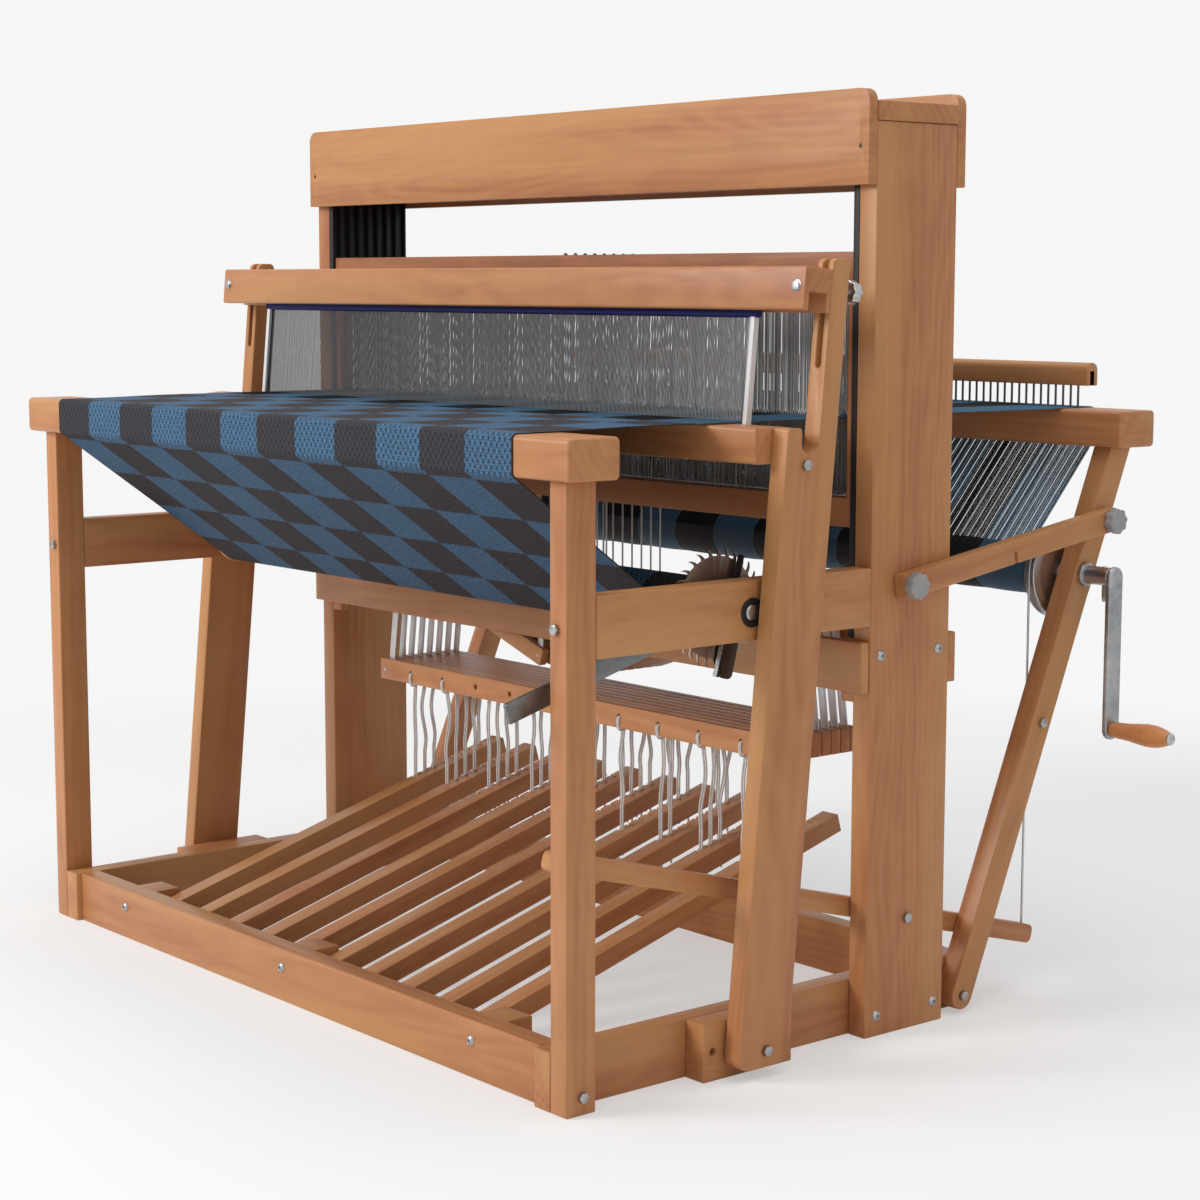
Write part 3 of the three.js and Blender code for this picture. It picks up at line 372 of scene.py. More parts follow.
WOOD = wood("satin_wood", WOOD_PALE, WOOD_MIDDLE, WOOD_DEEP)
# The shafts' wood is the same wood one step darker and with less sheen: painted shade for the shafts inside the
# castle.
SHADED_WOOD = wood("shaded_inner_wood", WOOD_MIDDLE, WOOD_DEEP, (0.27, 0.105, 0.05), 0.10, 0.5)
# The lamms' wood is the same wood one step lighter: painted light standing in for the sheen on the lamms.
LIT_WOOD = wood("lit_lamm_wood", (0.68, 0.335, 0.145), (0.60, 0.27, 0.11), (0.48, 0.19, 0.083))
# The crank's grip is a lighter, warmer copy of the wood: painted light for the grip, which is lit from the
# front and left.
LIT_HANDLE_WOOD = wood("lit_handle_wood", (0.92, 0.42, 0.15), (0.82, 0.34, 0.12), (0.64, 0.24, 0.09))
print("wood finishes", WOOD.name, SHADED_WOOD.name, LIT_WOOD.name, LIT_HANDLE_WOOD.name)

# %% [markdown]
# ## Metals, plastic and cord
# The fittings are plain: polished bolts, galvanised straps with grey spangles, a brown-toned saw plate for
# the ratchet, black plastic tracks and light grey cord.

# %% Fittings
SPANGLE_STOPS = ((0.25, (0.27, 0.285, 0.30)), (0.55, (0.46, 0.475, 0.49)), (0.85, (0.60, 0.61, 0.62)))
SPANGLE_SCALE = 95.0
SPANGLE_BEND = (0.006, 0.006, 0.006)


def metal(name, colour, roughness, grain_scale=60.0, spread=0.14, darker=0.82):
    material, g = surface(name)
    spot = object_place(g)
    cloud = noise(g, spot, grain_scale, 4.0, 0.6)
    fine = noise(g, spot, grain_scale * 14, 2.0)
    return finish(material, g, {
        "Metallic": 1.0, "Base Color": blended(g, cloud, colour, scaled(colour, darker)),
        "Roughness": cloud * spread + fine * 0.06 + (roughness - spread / 2),
        "Normal": bumped(g, fine, 0.06, 0.0002),
    })


def galvanised(name, shade=1.0):
    material, g = surface(name)
    spot = object_place(g)
    bent_spot = g.vector_maths("MULTIPLY_ADD", noise(g, spot, 70.0, output=1), SPANGLE_BEND, spot)
    spangle = g.node("ShaderNodeTexVoronoi", {"feature": "F1"},
                     {"Vector": bent_spot, "Scale": SPANGLE_SCALE}, output="Color")
    flake = g.node("ShaderNodeSeparateColor", (), {0: spangle}, output=0)
    stain = noise(g, spot, 22.0, 5.0, 0.65)
    stops = [(stop, scaled(tone, shade)) for stop, tone in SPANGLE_STOPS]
    return finish(material, g, {
        "Metallic": 1.0,
        "Base Color": g.node("ShaderNodeValToRGB", {"stops": stops}, {"Fac": flake * 0.12 + stain * 0.95}),
        "Roughness": flake * 0.08 + stain * 0.25 + 0.24,
        "Normal": bumped(g, flake, 0.08, 0.0002),
    })


def plastic(name, colour, roughness, scale=500.0, bump=0.12):
    material, g = surface(name)
    spot = object_place(g)
    speck = noise(g, spot, scale, 3.0, 0.6)
    cloud = noise(g, spot, scale / 12, 2.0)
    return finish(material, g, {
        "Specular IOR Level": 0.45, "Base Color": blended(g, cloud, colour, scaled(colour, 0.72)),
        "Roughness": cloud * 0.12 + speck * 0.08 + (roughness - 0.1),
        "Normal": bumped(g, speck, bump, 0.0002),
    })


POLISHED = metal("polished_steel", (0.62, 0.625, 0.64), 0.26)
WIRE = metal("heddle_steel", (0.54, 0.53, 0.52), 0.44, 240.0)
DENT = metal("reed_steel", (0.34, 0.342, 0.35), 0.42, 240.0)
SAW_STEEL = metal("ratchet_steel", (0.52, 0.42, 0.35), 0.36, 18.0, 0.2, 0.6)
BRIGHT_STRAP = metal("bright_strap", (0.86, 0.86, 0.87), 0.48)
BOLT = metal("bolt_steel", (0.50, 0.50, 0.51), 0.3)
DARK_STEEL = metal("dark_steel", (0.16, 0.16, 0.165), 0.38, 30.0)
GALVANISED = galvanised("galvanised_steel")
# The advance lever gets the galvanised finish at about half its brightness: painted shade on the lever.
SHADED_LEVER_STEEL = galvanised("shaded_lever_steel", 0.48)
BLACK = plastic("black_plastic", (0.008, 0.008, 0.009), 0.55)
WHITE_BAR = plastic("white_bar", (0.93, 0.93, 0.94), 0.38)
NAVY_TAPE = plastic("navy_tape", (0.003, 0.003, 0.115), 0.7, 900.0, 0.3)
PAWL_BROWN = plastic("pawl_brown", (0.060, 0.030, 0.020), 0.45)
CORD = plastic("grey_cord", (0.82, 0.81, 0.80), 0.7, 1400.0, 0.5)
KNOB = plastic("grey_knob", (0.40, 0.395, 0.39), 0.45, 900.0, 0.3)
print("fittings", [m.name for m in (POLISHED, WIRE, DENT, SAW_STEEL, GALVANISED, BLACK, NAVY_TAPE, CORD)])

# %% [markdown]
# ## Boards
# A board could be a scaled cube, but then its edges would be knife sharp and its bevels stretched. Here a
# board is an outline drawn out straight, with every sharp edge rounded by the same small amount, as a router
# does it. The outline can have rounded corners and round holes, so posts, rails, arms and plates all come
# from it.

# %% Outlines
def rounded(corners, steps=6):
    """Corners given as (across, up, length rounded off), as a list of (across, up)."""
    line = []
    for index, corner in enumerate(corners):
        here = Vector(corner[:2])
        cut = corner[2] if len(corner) > 2 else 0
        if not cut:
            line.append(tuple(here))
            continue
        last = (Vector(corners[index - 1][:2]) - here).normalized()
        following = (Vector(corners[(index + 1) % len(corners)][:2]) - here).normalized()
        half_opening = last.angle(following) / 2
        centre = here + (last + following).normalized() * (cut / math.cos(half_opening))
        begin, close = here + last * cut - centre, here + following * cut - centre
        sweep = begin.angle_signed(close)
        line += [tuple(centre + Matrix.Rotation(-sweep * step / steps, 2) @ begin) for step in range(steps + 1)]
    return line


def rect(across, up, cuts=None):
    """Rectangle from two ranges, its corners rounded by the four cuts if they are given."""
    line = [(across[0], up[0]), (across[1], up[0]), (across[1], up[1]), (across[0], up[1])]
    return rounded([(*corner, cut) for corner, cut in zip(line, cuts)]) if cuts else line


def circle(radius, across=0.0, up=0.0, sides=24):
    turns = [2 * math.pi * k / sides for k in range(sides)]
    return [(across + radius * math.cos(a), up + radius * math.sin(a)) for a in turns]


def arc(centre, radius, start, stop, steps):
    turns = [math.radians(start + (stop - start) * k / steps) for k in range(steps + 1)]
    return [(centre[0] + radius * math.cos(a), centre[1] + radius * math.sin(a)) for a in turns]


def bar_line(width, length):
    """Bar with round ends from the origin along the first axis."""
    return arc((0, 0), width / 2, 90, 270, 12) + arc((length, 0), width / 2, -90, 90, 12)


print("outlines ready")

# %% Outlines drawn out into solids
PLANES = {"side": ((0, 1, 0), (0, 0, 1), (1, 0, 0)), "front": ((1, 0, 0), (0, 0, 1), (0, 1, 0)),
          "plan": ((1, 0, 0), (0, 1, 0), (0, 0, 1))}
IN_METRES = Matrix.Diagonal((0.001, 0.001, 0.001, 1)) @ Matrix.Translation((-MIDDLE_X, -MIDDLE_Y, 0))
EDGE_ROUND = 1.6
SHARP_ANGLE = math.radians(28)


def linked(name, mesh):
    thing = bpy.data.objects.new(name, mesh)
    bpy.context.scene.collection.objects.link(thing)
    return thing


def smoothed(mesh, angle=SHARP_ANGLE):
    mesh.shade_smooth()
    mesh.set_sharp_from_angle(angle=angle)


def evaluated(thing):
    """What the modifiers make of a piece, as a plain mesh. The modifiers are then taken off."""
    depsgraph = bpy.context.evaluated_depsgraph_get()
    mesh = bpy.data.meshes.new_from_object(thing.evaluated_get(depsgraph), depsgraph=depsgraph)
    thing.modifiers.clear()
    return mesh


def edges_rounded(bm, offset, steps):
    sharp = [e for e in bm.edges if len(e.link_faces) == 2 and e.calc_face_angle(0) > SHARP_ANGLE]
    bmesh.ops.bevel(bm, geom=sharp, offset=offset, segments=steps, profile=0.5, affect="EDGES",
                    clamp_overlap=True)


def filled(mesh, bm, angle=SHARP_ANGLE):
    """Turns the faces outwards and puts them into a mesh."""
    bmesh.ops.recalc_face_normals(bm, faces=bm.faces)
    bm.to_mesh(mesh)
    bm.free()
    smoothed(mesh, angle)
    return mesh


def to_object(name, bm, angle=SHARP_ANGLE):
    return linked(name, filled(bpy.data.meshes.new(name), bm, angle))


def solid(name, line, reach, plane="side", holes=(), edge=EDGE_ROUND, steps=3, turn=None, shift=(0, 0, 0)):
    """Outline in millimetres drawn out over a reach, then turned about the origin and shifted."""
    across, up, out = (Vector(axis) for axis in PLANES[plane])
    bm = bmesh.new()
    loops = []
    for ring in (line, *holes):
        verts = [bm.verts.new(across * a + up * b + out * reach[0]) for a, b in ring]
        loops += [bm.edges.new((verts[k - 1], verts[k])) for k in range(len(verts))]
    if holes:
        bmesh.ops.triangle_fill(bm, use_beauty=True, use_dissolve=False, edges=loops)
    else:
        bm.faces.new(list(bm.verts))
    drawn = bmesh.ops.extrude_face_region(bm, geom=bm.faces[:])
    far = [v for v in drawn["geom"] if isinstance(v, bmesh.types.BMVert)]
    bmesh.ops.translate(bm, verts=far, vec=out * (reach[1] - reach[0]))
    bmesh.ops.recalc_face_normals(bm, faces=bm.faces)
    if edge:
        edges_rounded(bm, edge, steps)
    placed = Matrix.Translation(Vector(shift)) @ (turn.to_4x4() if turn else Matrix.Identity(4))
    bm.transform(IN_METRES @ placed)
    return to_object(name, bm)


def block(name, x, y, z, edge=EDGE_ROUND):
    return solid(name, rect(y, z), x, edge=edge)


print("planes", sorted(PLANES))

# %% [markdown]
# Each wooden piece is then given its grain. The random numbers come from one seeded source, so every run
# draws the same boards. A finished piece rides on one body, or stays where it is drawn.

# %% Grain, finish and body of a piece
SEED = 417
BOARD_SPREAD = 60.0
HEART_NEAR = 0.03
HEART_FAR = 0.16
ALONG_X, ALONG_Y, ALONG_Z = (1, 0, 0), (0, 1, 0), (0, 0, 1)
SIDES = (("left", -1), ("right", 1))
chance = random.Random(SEED)
made = []


def carry(thing, name, values, kind="FLOAT_VECTOR", key="vector"):
    attribute = thing.attributes.new(name, kind, "POINT")
    attribute.data.foreach_set(key, values)


def grained(thing, along):
    """Writes the grain vector: along the board, across it and through it, round a heart beside the board."""
    first = Vector(along).normalized()
    second = first.cross(Vector((0, 1, 0) if abs(first.x) > 0.7 else (1, 0, 0))).normalized()
    third = first.cross(second)
    middle = sum((Vector(c) for c in thing.bound_box), Vector()) / 8
    angle = chance.uniform(0, 2 * math.pi)
    away = chance.uniform(HEART_NEAR, HEART_FAR)
    offset = Vector((chance.uniform(0, BOARD_SPREAD), away * math.cos(angle), away * math.sin(angle)))
    flat = []
    for vertex in thing.data.vertices:
        spot = vertex.co - middle
        flat += [spot.dot(first) + offset.x, spot.dot(second) + offset.y, spot.dot(third) + offset.z]
    carry(thing.data, "grain", flat)
    return thing


def dressed(thing, material, nodes):
    thing.data.materials.clear()
    thing.data.materials.append(material)
    if nodes:
        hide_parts(*nodes)
    made.append(thing.name)
    return thing


def place(thing, body, material, nodes=()):
    """A piece that rides on one body."""
    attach(dressed(thing, material, nodes), body)


def bend(thing, material, bodies, start, end, nodes=()):
    """A piece that stays where it is drawn. Its bodies, start and end are not used."""
    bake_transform(dressed(thing, material, nodes))


def wooden(thing, along, body="frame", nodes=(), material=WOOD):
    place(grained(thing, along), body, material, nodes)


def span(side, inner, outer):
    return (inner, outer) if side > 0 else (-outer, -inner)


def told(title):
    print(title, len(made), "pieces so far")


# %% [markdown]
# ## Base, posts and rails
# The frame that stands on the floor: two posts in front, two long rails with a glued block for the beater's
# pivot, and two rails across. Upper rails tie the posts to the castle and carry the cloth beam in black
# bushings.

# %% Side frames
BOARD = 29.0
INNER = HALF_WIDTH - BOARD
RAIL_PLAY = 0.3
RAIL_OUT = INNER - RAIL_PLAY
RAIL_IN = RAIL_OUT - BOARD
RAIL_HEIGHT = 69.0
RAIL_LENGTH = 672.0
RAIL_EDGE = 2.0
POST_EDGE = 2.2
POST_DEPTH = 42.0
POST_TOP = 702.7
UPPER_RAIL = (507.0, 577.0)
CLOTH_AXLE = (272.0, 540.0)
CASTLE = (466.0, 603.0)
PIVOT = (270.0, 33.0)
PIVOT_BLOCK = (200.0, 340.0)
BLOCK_OUT = 592.7
BLOCK_HOLE = circle(4.6, 215, 35)
BUSH_HOLE = circle(12.35, *CLOTH_AXLE)

for name, side in SIDES:
    board = span(side, INNER, HALF_WIDTH)
    post = block(f"post_{name}", board, (0, POST_DEPTH), (0, POST_TOP), POST_EDGE)
    wooden(post, ALONG_Z, nodes=[f"front_post_{name}"])
    rail = block(f"rail_{name}", span(side, RAIL_IN, RAIL_OUT), (0, RAIL_LENGTH), (0, RAIL_HEIGHT), RAIL_EDGE)
    wooden(rail, ALONG_Y, nodes=[f"base_rail_{name}"])
    spare_line = rect(PIVOT_BLOCK, (0, RAIL_HEIGHT))
    spare = solid(f"pivot_block_{name}", spare_line, span(side, RAIL_OUT, BLOCK_OUT), holes=[BLOCK_HOLE],
                  edge=1.8)
    wooden(spare, ALONG_Y)
    upper_line = rect((POST_DEPTH + RAIL_PLAY, CASTLE[0] - RAIL_PLAY), UPPER_RAIL)
    upper = solid(f"side_rail_{name}", upper_line, board, holes=[BUSH_HOLE])
    wooden(upper, ALONG_Y, nodes=[f"upper_rail_{name}"])
cross = (-RAIL_IN + RAIL_PLAY, RAIL_IN - RAIL_PLAY)
for name, depth in (("front", (8, 37)), ("rear", (643, 672))):
    rail = block(f"rail_{name}", cross, depth, (0, RAIL_HEIGHT), RAIL_EDGE)
    wooden(rail, ALONG_X, nodes=[f"{name}_base_rail"])
told("side frames")

# %% [markdown]
# ## Breast beam and castle
# The breast beam is a heavy bar with well rounded edges, because the cloth runs round it. The castle is two
# tall uprights, a cap, and four boards screwed to their faces.

# %% Breast beam, uprights and castle boards
BEAM_REACH = 612.7
BEAM_FRONT = -15.0
BEAM_DEPTH = 72.0
BEAM_BOTTOM = 703.0
BEAM_TOP = 750.0
BEAM_ROUND = 6.0
TOP_BOARD = (1027.0, 1138.0)
CAP = (1101.3, 1124.3)
LOW_BOARD = (426.0, 488.0)
CLEAT = (412.0, 425.7)
FACE_FRONT = (451.7, 465.7)
FACE_BACK = (603.3, 617.3)
SCREW_AT = ((-576.0, 1071.5), (576.0, 1071.5))
SCREW_HOLES = [circle(2.7, x, z, 16) for x, z in SCREW_AT]


def beam_line(depth):
    return rect(depth, (BEAM_BOTTOM, BEAM_TOP), [BEAM_ROUND] * 4)


front_line = beam_line((BEAM_FRONT, BEAM_FRONT + BEAM_DEPTH))
beam = solid("beam_front", front_line, (-BEAM_REACH, BEAM_REACH), edge=4.0, steps=4)
wooden(beam, ALONG_X, nodes=["breast_beam"])
for name, side in SIDES:
    upright = block(f"upright_{name}", span(side, INNER, HALF_WIDTH), CASTLE, (0, 1101), POST_EDGE)
    wooden(upright, ALONG_Z, nodes=[f"castle_upright_{name}"])
top_line = rect((-589.5, 589.5), TOP_BOARD, (0, 0, 15, 15))
for name, face, nodes in (("front", FACE_FRONT, ["castle_top"]), ("back", FACE_BACK, [])):
    wooden(solid(f"top_board_{name}", top_line, face, "front", SCREW_HOLES, 1.4), ALONG_X, nodes=nodes)
wooden(block("castle_cap", (-592, 592), (465.9, 603.1), CAP, 2.0), ALONG_X)
for name, face in (("front", FACE_FRONT), ("back", FACE_BACK)):
    board = block(f"low_board_{name}", (-588.5, 588.5), face, LOW_BOARD, 2.0)
    wooden(board, ALONG_X, nodes=[f"castle_low_board_{name}"])
for name, side in SIDES:
    for end, depth in (("front", (466.3, 480)), ("back", (589, 602.7))):
        wooden(block(f"cleat_{end}_{name}", span(side, 541, INNER), depth, CLEAT, 1.0), ALONG_Y)
told("breast beam and castle")

# %% [markdown]
# ## Three Geometry Nodes trees
# Heddles, reed wires and raddle pins stand in rows, bolts sit on marked places, and threads and cords follow
# lines. Each of these is a small node tree with named inputs, so the spacing or the thickness is one number.
# A tree ends by making its copies real and giving them their finish, and its result is kept as a plain mesh.

# %% The trees
def recipe(name, sockets):
    tree = bpy.data.node_groups.new(name, "GeometryNodeTree")
    for socket, kind in (("Geometry", "Geometry"), *sockets):
        tree.interface.new_socket(socket, in_out="INPUT", socket_type="NodeSocket" + kind)
    tree.interface.new_socket("Geometry", in_out="OUTPUT", socket_type="NodeSocketGeometry")
    graph = Graph(tree)
    entry = tree.nodes.new("NodeGroupInput")
    return graph, {out.name: Wire(graph, out) for out in entry.outputs if out.name}


def close_recipe(graph, geometry, material):
    real = graph.node("GeometryNodeRealizeInstances", (), {"Geometry": geometry})
    finished = graph.node("GeometryNodeSetMaterial", (), {"Geometry": real, "Material": material})
    graph.node("NodeGroupOutput", (), {0: finished})
    return graph.tree


def copies_of(graph, points, thing, euler):
    rotation = graph.node("FunctionNodeEulerToRotation", (), {"Euler": euler})
    info = graph.node("GeometryNodeObjectInfo", {"transform_space": "ORIGINAL"}, {"Object": thing},
                      output="Geometry")
    inputs = {"Points": points, "Instance": info, "Rotation": rotation}
    return graph.node("GeometryNodeInstanceOnPoints", (), inputs)


def random_within(graph, vector, seed):
    """A random vector between minus a vector and the vector."""
    minus = graph.node("ShaderNodeVectorMath", {"operation": "SCALE"}, {0: vector, "Scale": -1.0})
    return graph.node("FunctionNodeRandomValue", {"data_type": "FLOAT_VECTOR"},
                      {"Min": minus, "Max": vector, "Seed": seed})


def make_row_tree():
    g, given = recipe("row_of_copies", [
        ("Count", "Int"), ("Start", "Vector"), ("Step", "Vector"), ("Stray", "Vector"), ("Twist", "Float"),
        ("Seed", "Int"), ("Item", "Object"), ("Finish", "Material"),
    ])
    line = g.node("GeometryNodeMeshLine", {"mode": "OFFSET"}, {
        "Count": given["Count"], "Start Location": given["Start"], "Offset": given["Step"],
    })
    stray = random_within(g, given["Stray"], given["Seed"])
    moved = g.node("GeometryNodeSetPosition", (), {"Geometry": line, "Offset": stray})
    spin = g.node("ShaderNodeCombineXYZ", (), {"Z": given["Twist"]})
    turned_by = random_within(g, spin, given["Seed"] + 1)
    return close_recipe(g, copies_of(g, moved, given["Item"], turned_by), given["Finish"])


def make_marks_tree():
    g, given = recipe("copies_on_marks", [("Item", "Object"), ("Finish", "Material")])
    turn = g.node("GeometryNodeInputNamedAttribute", {"data_type": "FLOAT_VECTOR"}, {"Name": "turn"})
    return close_recipe(g, copies_of(g, given["Geometry"], given["Item"], turn), given["Finish"])


def make_thread_tree():
    g, given = recipe("thread_on_line", [("Radius", "Float"), ("Sides", "Int"), ("Finish", "Material")])
    curve = g.node("GeometryNodeMeshToCurve", (), {"Mesh": given["Geometry"]})
    ring = g.node("GeometryNodeCurvePrimitiveCircle", {"mode": "RADIUS"}, {
        "Resolution": given["Sides"], "Radius": given["Radius"],
    })
    tube = g.node("GeometryNodeCurveToMesh", (), {"Curve": curve, "Profile Curve": ring, "Fill Caps": True})
    return close_recipe(g, tube, given["Finish"])


ROW_TREE = make_row_tree()
MARKS_TREE = make_marks_tree()
THREAD_TREE = make_thread_tree()
print("trees", ROW_TREE.name, MARKS_TREE.name, THREAD_TREE.name)

# %% Rows, marked places and threads
THREAD_ANGLE = math.radians(80)
patterns = []


def grown(name, tree, mesh, values, angle=SHARP_ANGLE):
    """Runs a tree on a mesh and keeps the result as a plain mesh."""
    carrier = linked(name + "_line", mesh)
    modifier = carrier.modifiers.new("make", "NODES")
    modifier.node_group = tree
    for socket in tree.interface.items_tree:
        if socket.in_out == "INPUT" and socket.name in values:
            modifier[socket.identifier] = values[socket.name]
    result = evaluated(carrier)
    bpy.data.objects.remove(carrier)
    result.name = name
    smoothed(result, angle)
    return linked(name, result)


def row(name, thing, count, start, step, material, stray=(0, 0, 0), twist=0.0, seed=1):
    """Copies of a part in a row. Start is a place on the loom, step and stray are lengths in millimetres."""
    values = {"Count": count, "Start": at(*start), "Step": Vector(step) / 1000, "Stray": Vector(stray) / 1000,
              "Twist": twist, "Seed": seed, "Item": thing, "Finish": material}
    return grown(name, ROW_TREE, bpy.data.meshes.new(name), values)


def marked(name, thing, marks, material):
    """Copies of a part at (place on the loom, turn)."""
    mesh = bpy.data.meshes.new(name)
    mesh.from_pydata([at(*spot) for spot, _ in marks], [], [])
    carry(mesh, "turn", [part for _, turn in marks for part in turn])
    return grown(name, MARKS_TREE, mesh, {"Item": thing, "Finish": material})


def threads(name, lines, radius, material, sides=7, across=None):
    """Round threads along lines of places on the loom, each with how far across the cloth it lies."""
    mesh = bpy.data.meshes.new(name)
    places, edges = [], []
    for line in lines:
        first = len(places)
        places += [at(*spot) for spot in line]
        edges += [(first + k, first + k + 1) for k in range(len(line) - 1)]
    mesh.from_pydata(places, edges, [])
    if across:
        numbers = [number for line, number in zip(lines, across) for _ in line]
        carry(mesh, "across", numbers, "FLOAT", "value")
    values = {"Radius": size(radius), "Sides": sides, "Finish": material}
    return grown(name, THREAD_TREE, mesh, values, THREAD_ANGLE)


def as_pattern(thing):
    """Moves a small part to the origin, as the trees need it. It is only copied, and removed at the end."""
    thing.data.transform(Matrix.Translation(-at(0, 0, 0)))
    patterns.append(thing)
    return thing


# %% [markdown]
# ## Turned and joined parts
# A roll, a drum or a handle is a profile turned round a line along the loom. Parts of one piece, such as the
# four boards of a shaft, are joined once each has its own grain.

# %% Turned parts and joining
ROD_CHAMFER = 0.6
MERGE = 0.00001


def turned(name, profile, y, z, segments=40):
    """Profile of (along, radius) turned about a line along the width of the loom."""
    bm = bmesh.new()
    rings = []
    for along, radius in profile:
        if radius == 0:
            rings.append([bm.verts.new(at(along, y, z))])
            continue
        rings.append([bm.verts.new(at(along, *spot)) for spot in circle(radius, y, z, segments)])
    for near, far in zip(rings, rings[1:]):
        for k in range(segments):
            low = [near[k % len(near)], near[(k + 1) % len(near)]]
            high = [far[(k + 1) % len(far)], far[k % len(far)]]
            unique = list(dict.fromkeys(low + high))
            if len(unique) > 2:
                bm.faces.new(unique)
    return to_object(name, bm)


def rod(name, radius, reach, y, z):
    low, high = reach
    profile = [(low, 0), (low, radius - ROD_CHAMFER), (low + ROD_CHAMFER, radius), (high - ROD_CHAMFER, radius),
               (high, radius - ROD_CHAMFER), (high, 0)]
    return turned(name, profile, y, z, 24)


def sided(side, profile):
    """The profile on its side of the loom."""
    return [(side * along, radius) for along, radius in profile]


def joined(name, things):
    with bpy.context.temp_override(
        active_object=things[0], object=things[0], selected_objects=things, selected_editable_objects=things,
    ):
        bpy.ops.object.join()
    things[0].name = name
    return things[0]


def softened(thing, mesh, edge, steps):
    """Gives a piece a mesh whose doubles are merged, whose flat faces are whole and whose edges are rounded."""
    bm = bmesh.new()
    bm.from_mesh(mesh)
    bmesh.ops.remove_doubles(bm, verts=bm.verts, dist=MERGE)
    bmesh.ops.dissolve_limit(bm, angle_limit=math.radians(1), verts=bm.verts, edges=bm.edges)
    edges_rounded(bm, size(edge), steps)
    thing.data = filled(mesh, bm)
    return thing


def carved(thing, cutter, edge):
    """Takes cutter out of thing, then rounds the sharp edges."""
    modifier = thing.modifiers.new("cut", "BOOLEAN")
    modifier.operation = "DIFFERENCE"
    modifier.solver = "EXACT"
    modifier.object = cutter
    result = evaluated(thing)
    bpy.data.objects.remove(cutter)
    return softened(thing, result, edge, 3)


def from_node(name, node, edge):
    """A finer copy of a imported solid."""
    return softened(linked(name, bpy.data.meshes.new(name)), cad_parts[node].data.copy(), edge, 2)


print("turning and joining ready")

# %% [markdown]
# ## Shafts and heddles
# Each shaft is a light frame of four thin boards that slides in a black ribbed track. It carries steel
# heddles, flat wires with an eye in the middle, each of which lifts a warp thread. Heddles never hang quite
# straight, so they stray and twist a little. Geometry Nodes fit well: one small heddle, a count and a
# spacing.

# %% Shafts in their tracks
SHAFTS = 8
PITCH = 17.0
FIRST_SHAFT = 475.0
SHAFT_REACH = 549.0
SHAFT_BOTTOM = 622.0
SHAFT_TOP = 950.0
SHAFT_BAR = 34.0
SHAFT_BARS = ((SHAFT_BOTTOM, SHAFT_BOTTOM + SHAFT_BAR), (SHAFT_TOP - SHAFT_BAR, SHAFT_TOP))
SHAFT_ENDS = (540.7, 556.7)
TRACK_FACE = 551.7
TRACK_FLOOR = 557.2
TRACK_TALL = (490, 1095)
GROOVE_HALF = 4.7
HEDDLES = 176
HEDDLE_REACH = 512.0
HEDDLE_WIDE = 0.65
HEDDLE_STRAY = (2.2, 1.1, 1.3)
HEDDLE_TWIST = 0.24
EYE = 2.0

comb = [(RAIL_OUT, CASTLE[0] + 0.5), (TRACK_FACE, CASTLE[0] + 0.5)]
for k in range(SHAFTS):
    near, far = (FIRST_SHAFT + PITCH * k + half for half in (-GROOVE_HALF, GROOVE_HALF))
    comb += [(TRACK_FACE, near), (TRACK_FLOOR, near), (TRACK_FLOOR, far), (TRACK_FACE, far)]
comb += [(TRACK_FACE, CASTLE[1] - 1.0), (RAIL_OUT, CASTLE[1] - 1.0)]
for name, side in SIDES:
    track = solid(f"track_{name}", sided(side, comb), TRACK_TALL, "plan", edge=0.5, steps=2)
    place(track, "frame", BLACK, [f"shaft_track_{name}"])

eye_line = [(-HEDDLE_WIDE, 654), (HEDDLE_WIDE, 654), (HEDDLE_WIDE, 744), (EYE, 750), (EYE, 756),
            (HEDDLE_WIDE, 762), (HEDDLE_WIDE, 918), (-HEDDLE_WIDE, 918), (-HEDDLE_WIDE, 762), (-EYE, 756),
            (-EYE, 750), (-HEDDLE_WIDE, 744)]
eye_hole = [(0, 748), (1.3, 751), (1.3, 755), (0, 758), (-1.3, 755), (-1.3, 751)]
heddle = as_pattern(solid("pattern", eye_line, (-0.25, 0.25), "front", [eye_hole], 0))
spacing = 2 * HEDDLE_REACH / (HEDDLES - 1)
for k in range(SHAFTS):
    y = FIRST_SHAFT + PITCH * k
    body = f"shaft_{k + 1}"
    boards = [grained(block("bar", (-SHAFT_REACH, SHAFT_REACH), (y - 5, y + 5), tall, 1.2), ALONG_X)
              for tall in SHAFT_BARS]
    boards += [grained(block("end", span(side, *SHAFT_ENDS), (y - 4, y + 4), (SHAFT_BOTTOM, SHAFT_TOP), 1.0),
                       ALONG_Z) for _, side in SIDES]
    place(joined(f"shaft_frame_{k + 1}", boards), body, SHADED_WOOD, [body])
    start = -HEDDLE_REACH + spacing * (k * 3 % SHAFTS - SHAFTS / 2) / SHAFTS
    hung = row(f"heddles_{k + 1}", heddle, HEDDLES, (start, y, 0), (spacing, 0, 0), WIRE, HEDDLE_STRAY,
               HEDDLE_TWIST, 30 + k)
    place(hung, body, WIRE)
    bars = [rod("rod", 1.6, (-536, 536), y, z) for z in (660, 912)]
    place(joined(f"heddle_rods_{k + 1}", bars), body, POLISHED)
told("shafts and heddles")

# %% [markdown]
# ## Lamms, jacks and treadles
# Pressing a treadle pulls lamms down on their cords. A lamm pulls the outer ends of two jacks, and the jacks'
# inner ends push the shaft up. A jack turns on a steel rod, which the frame has no joint for, so each jack is
# drawn in two halves, from the still rod to the moving end.

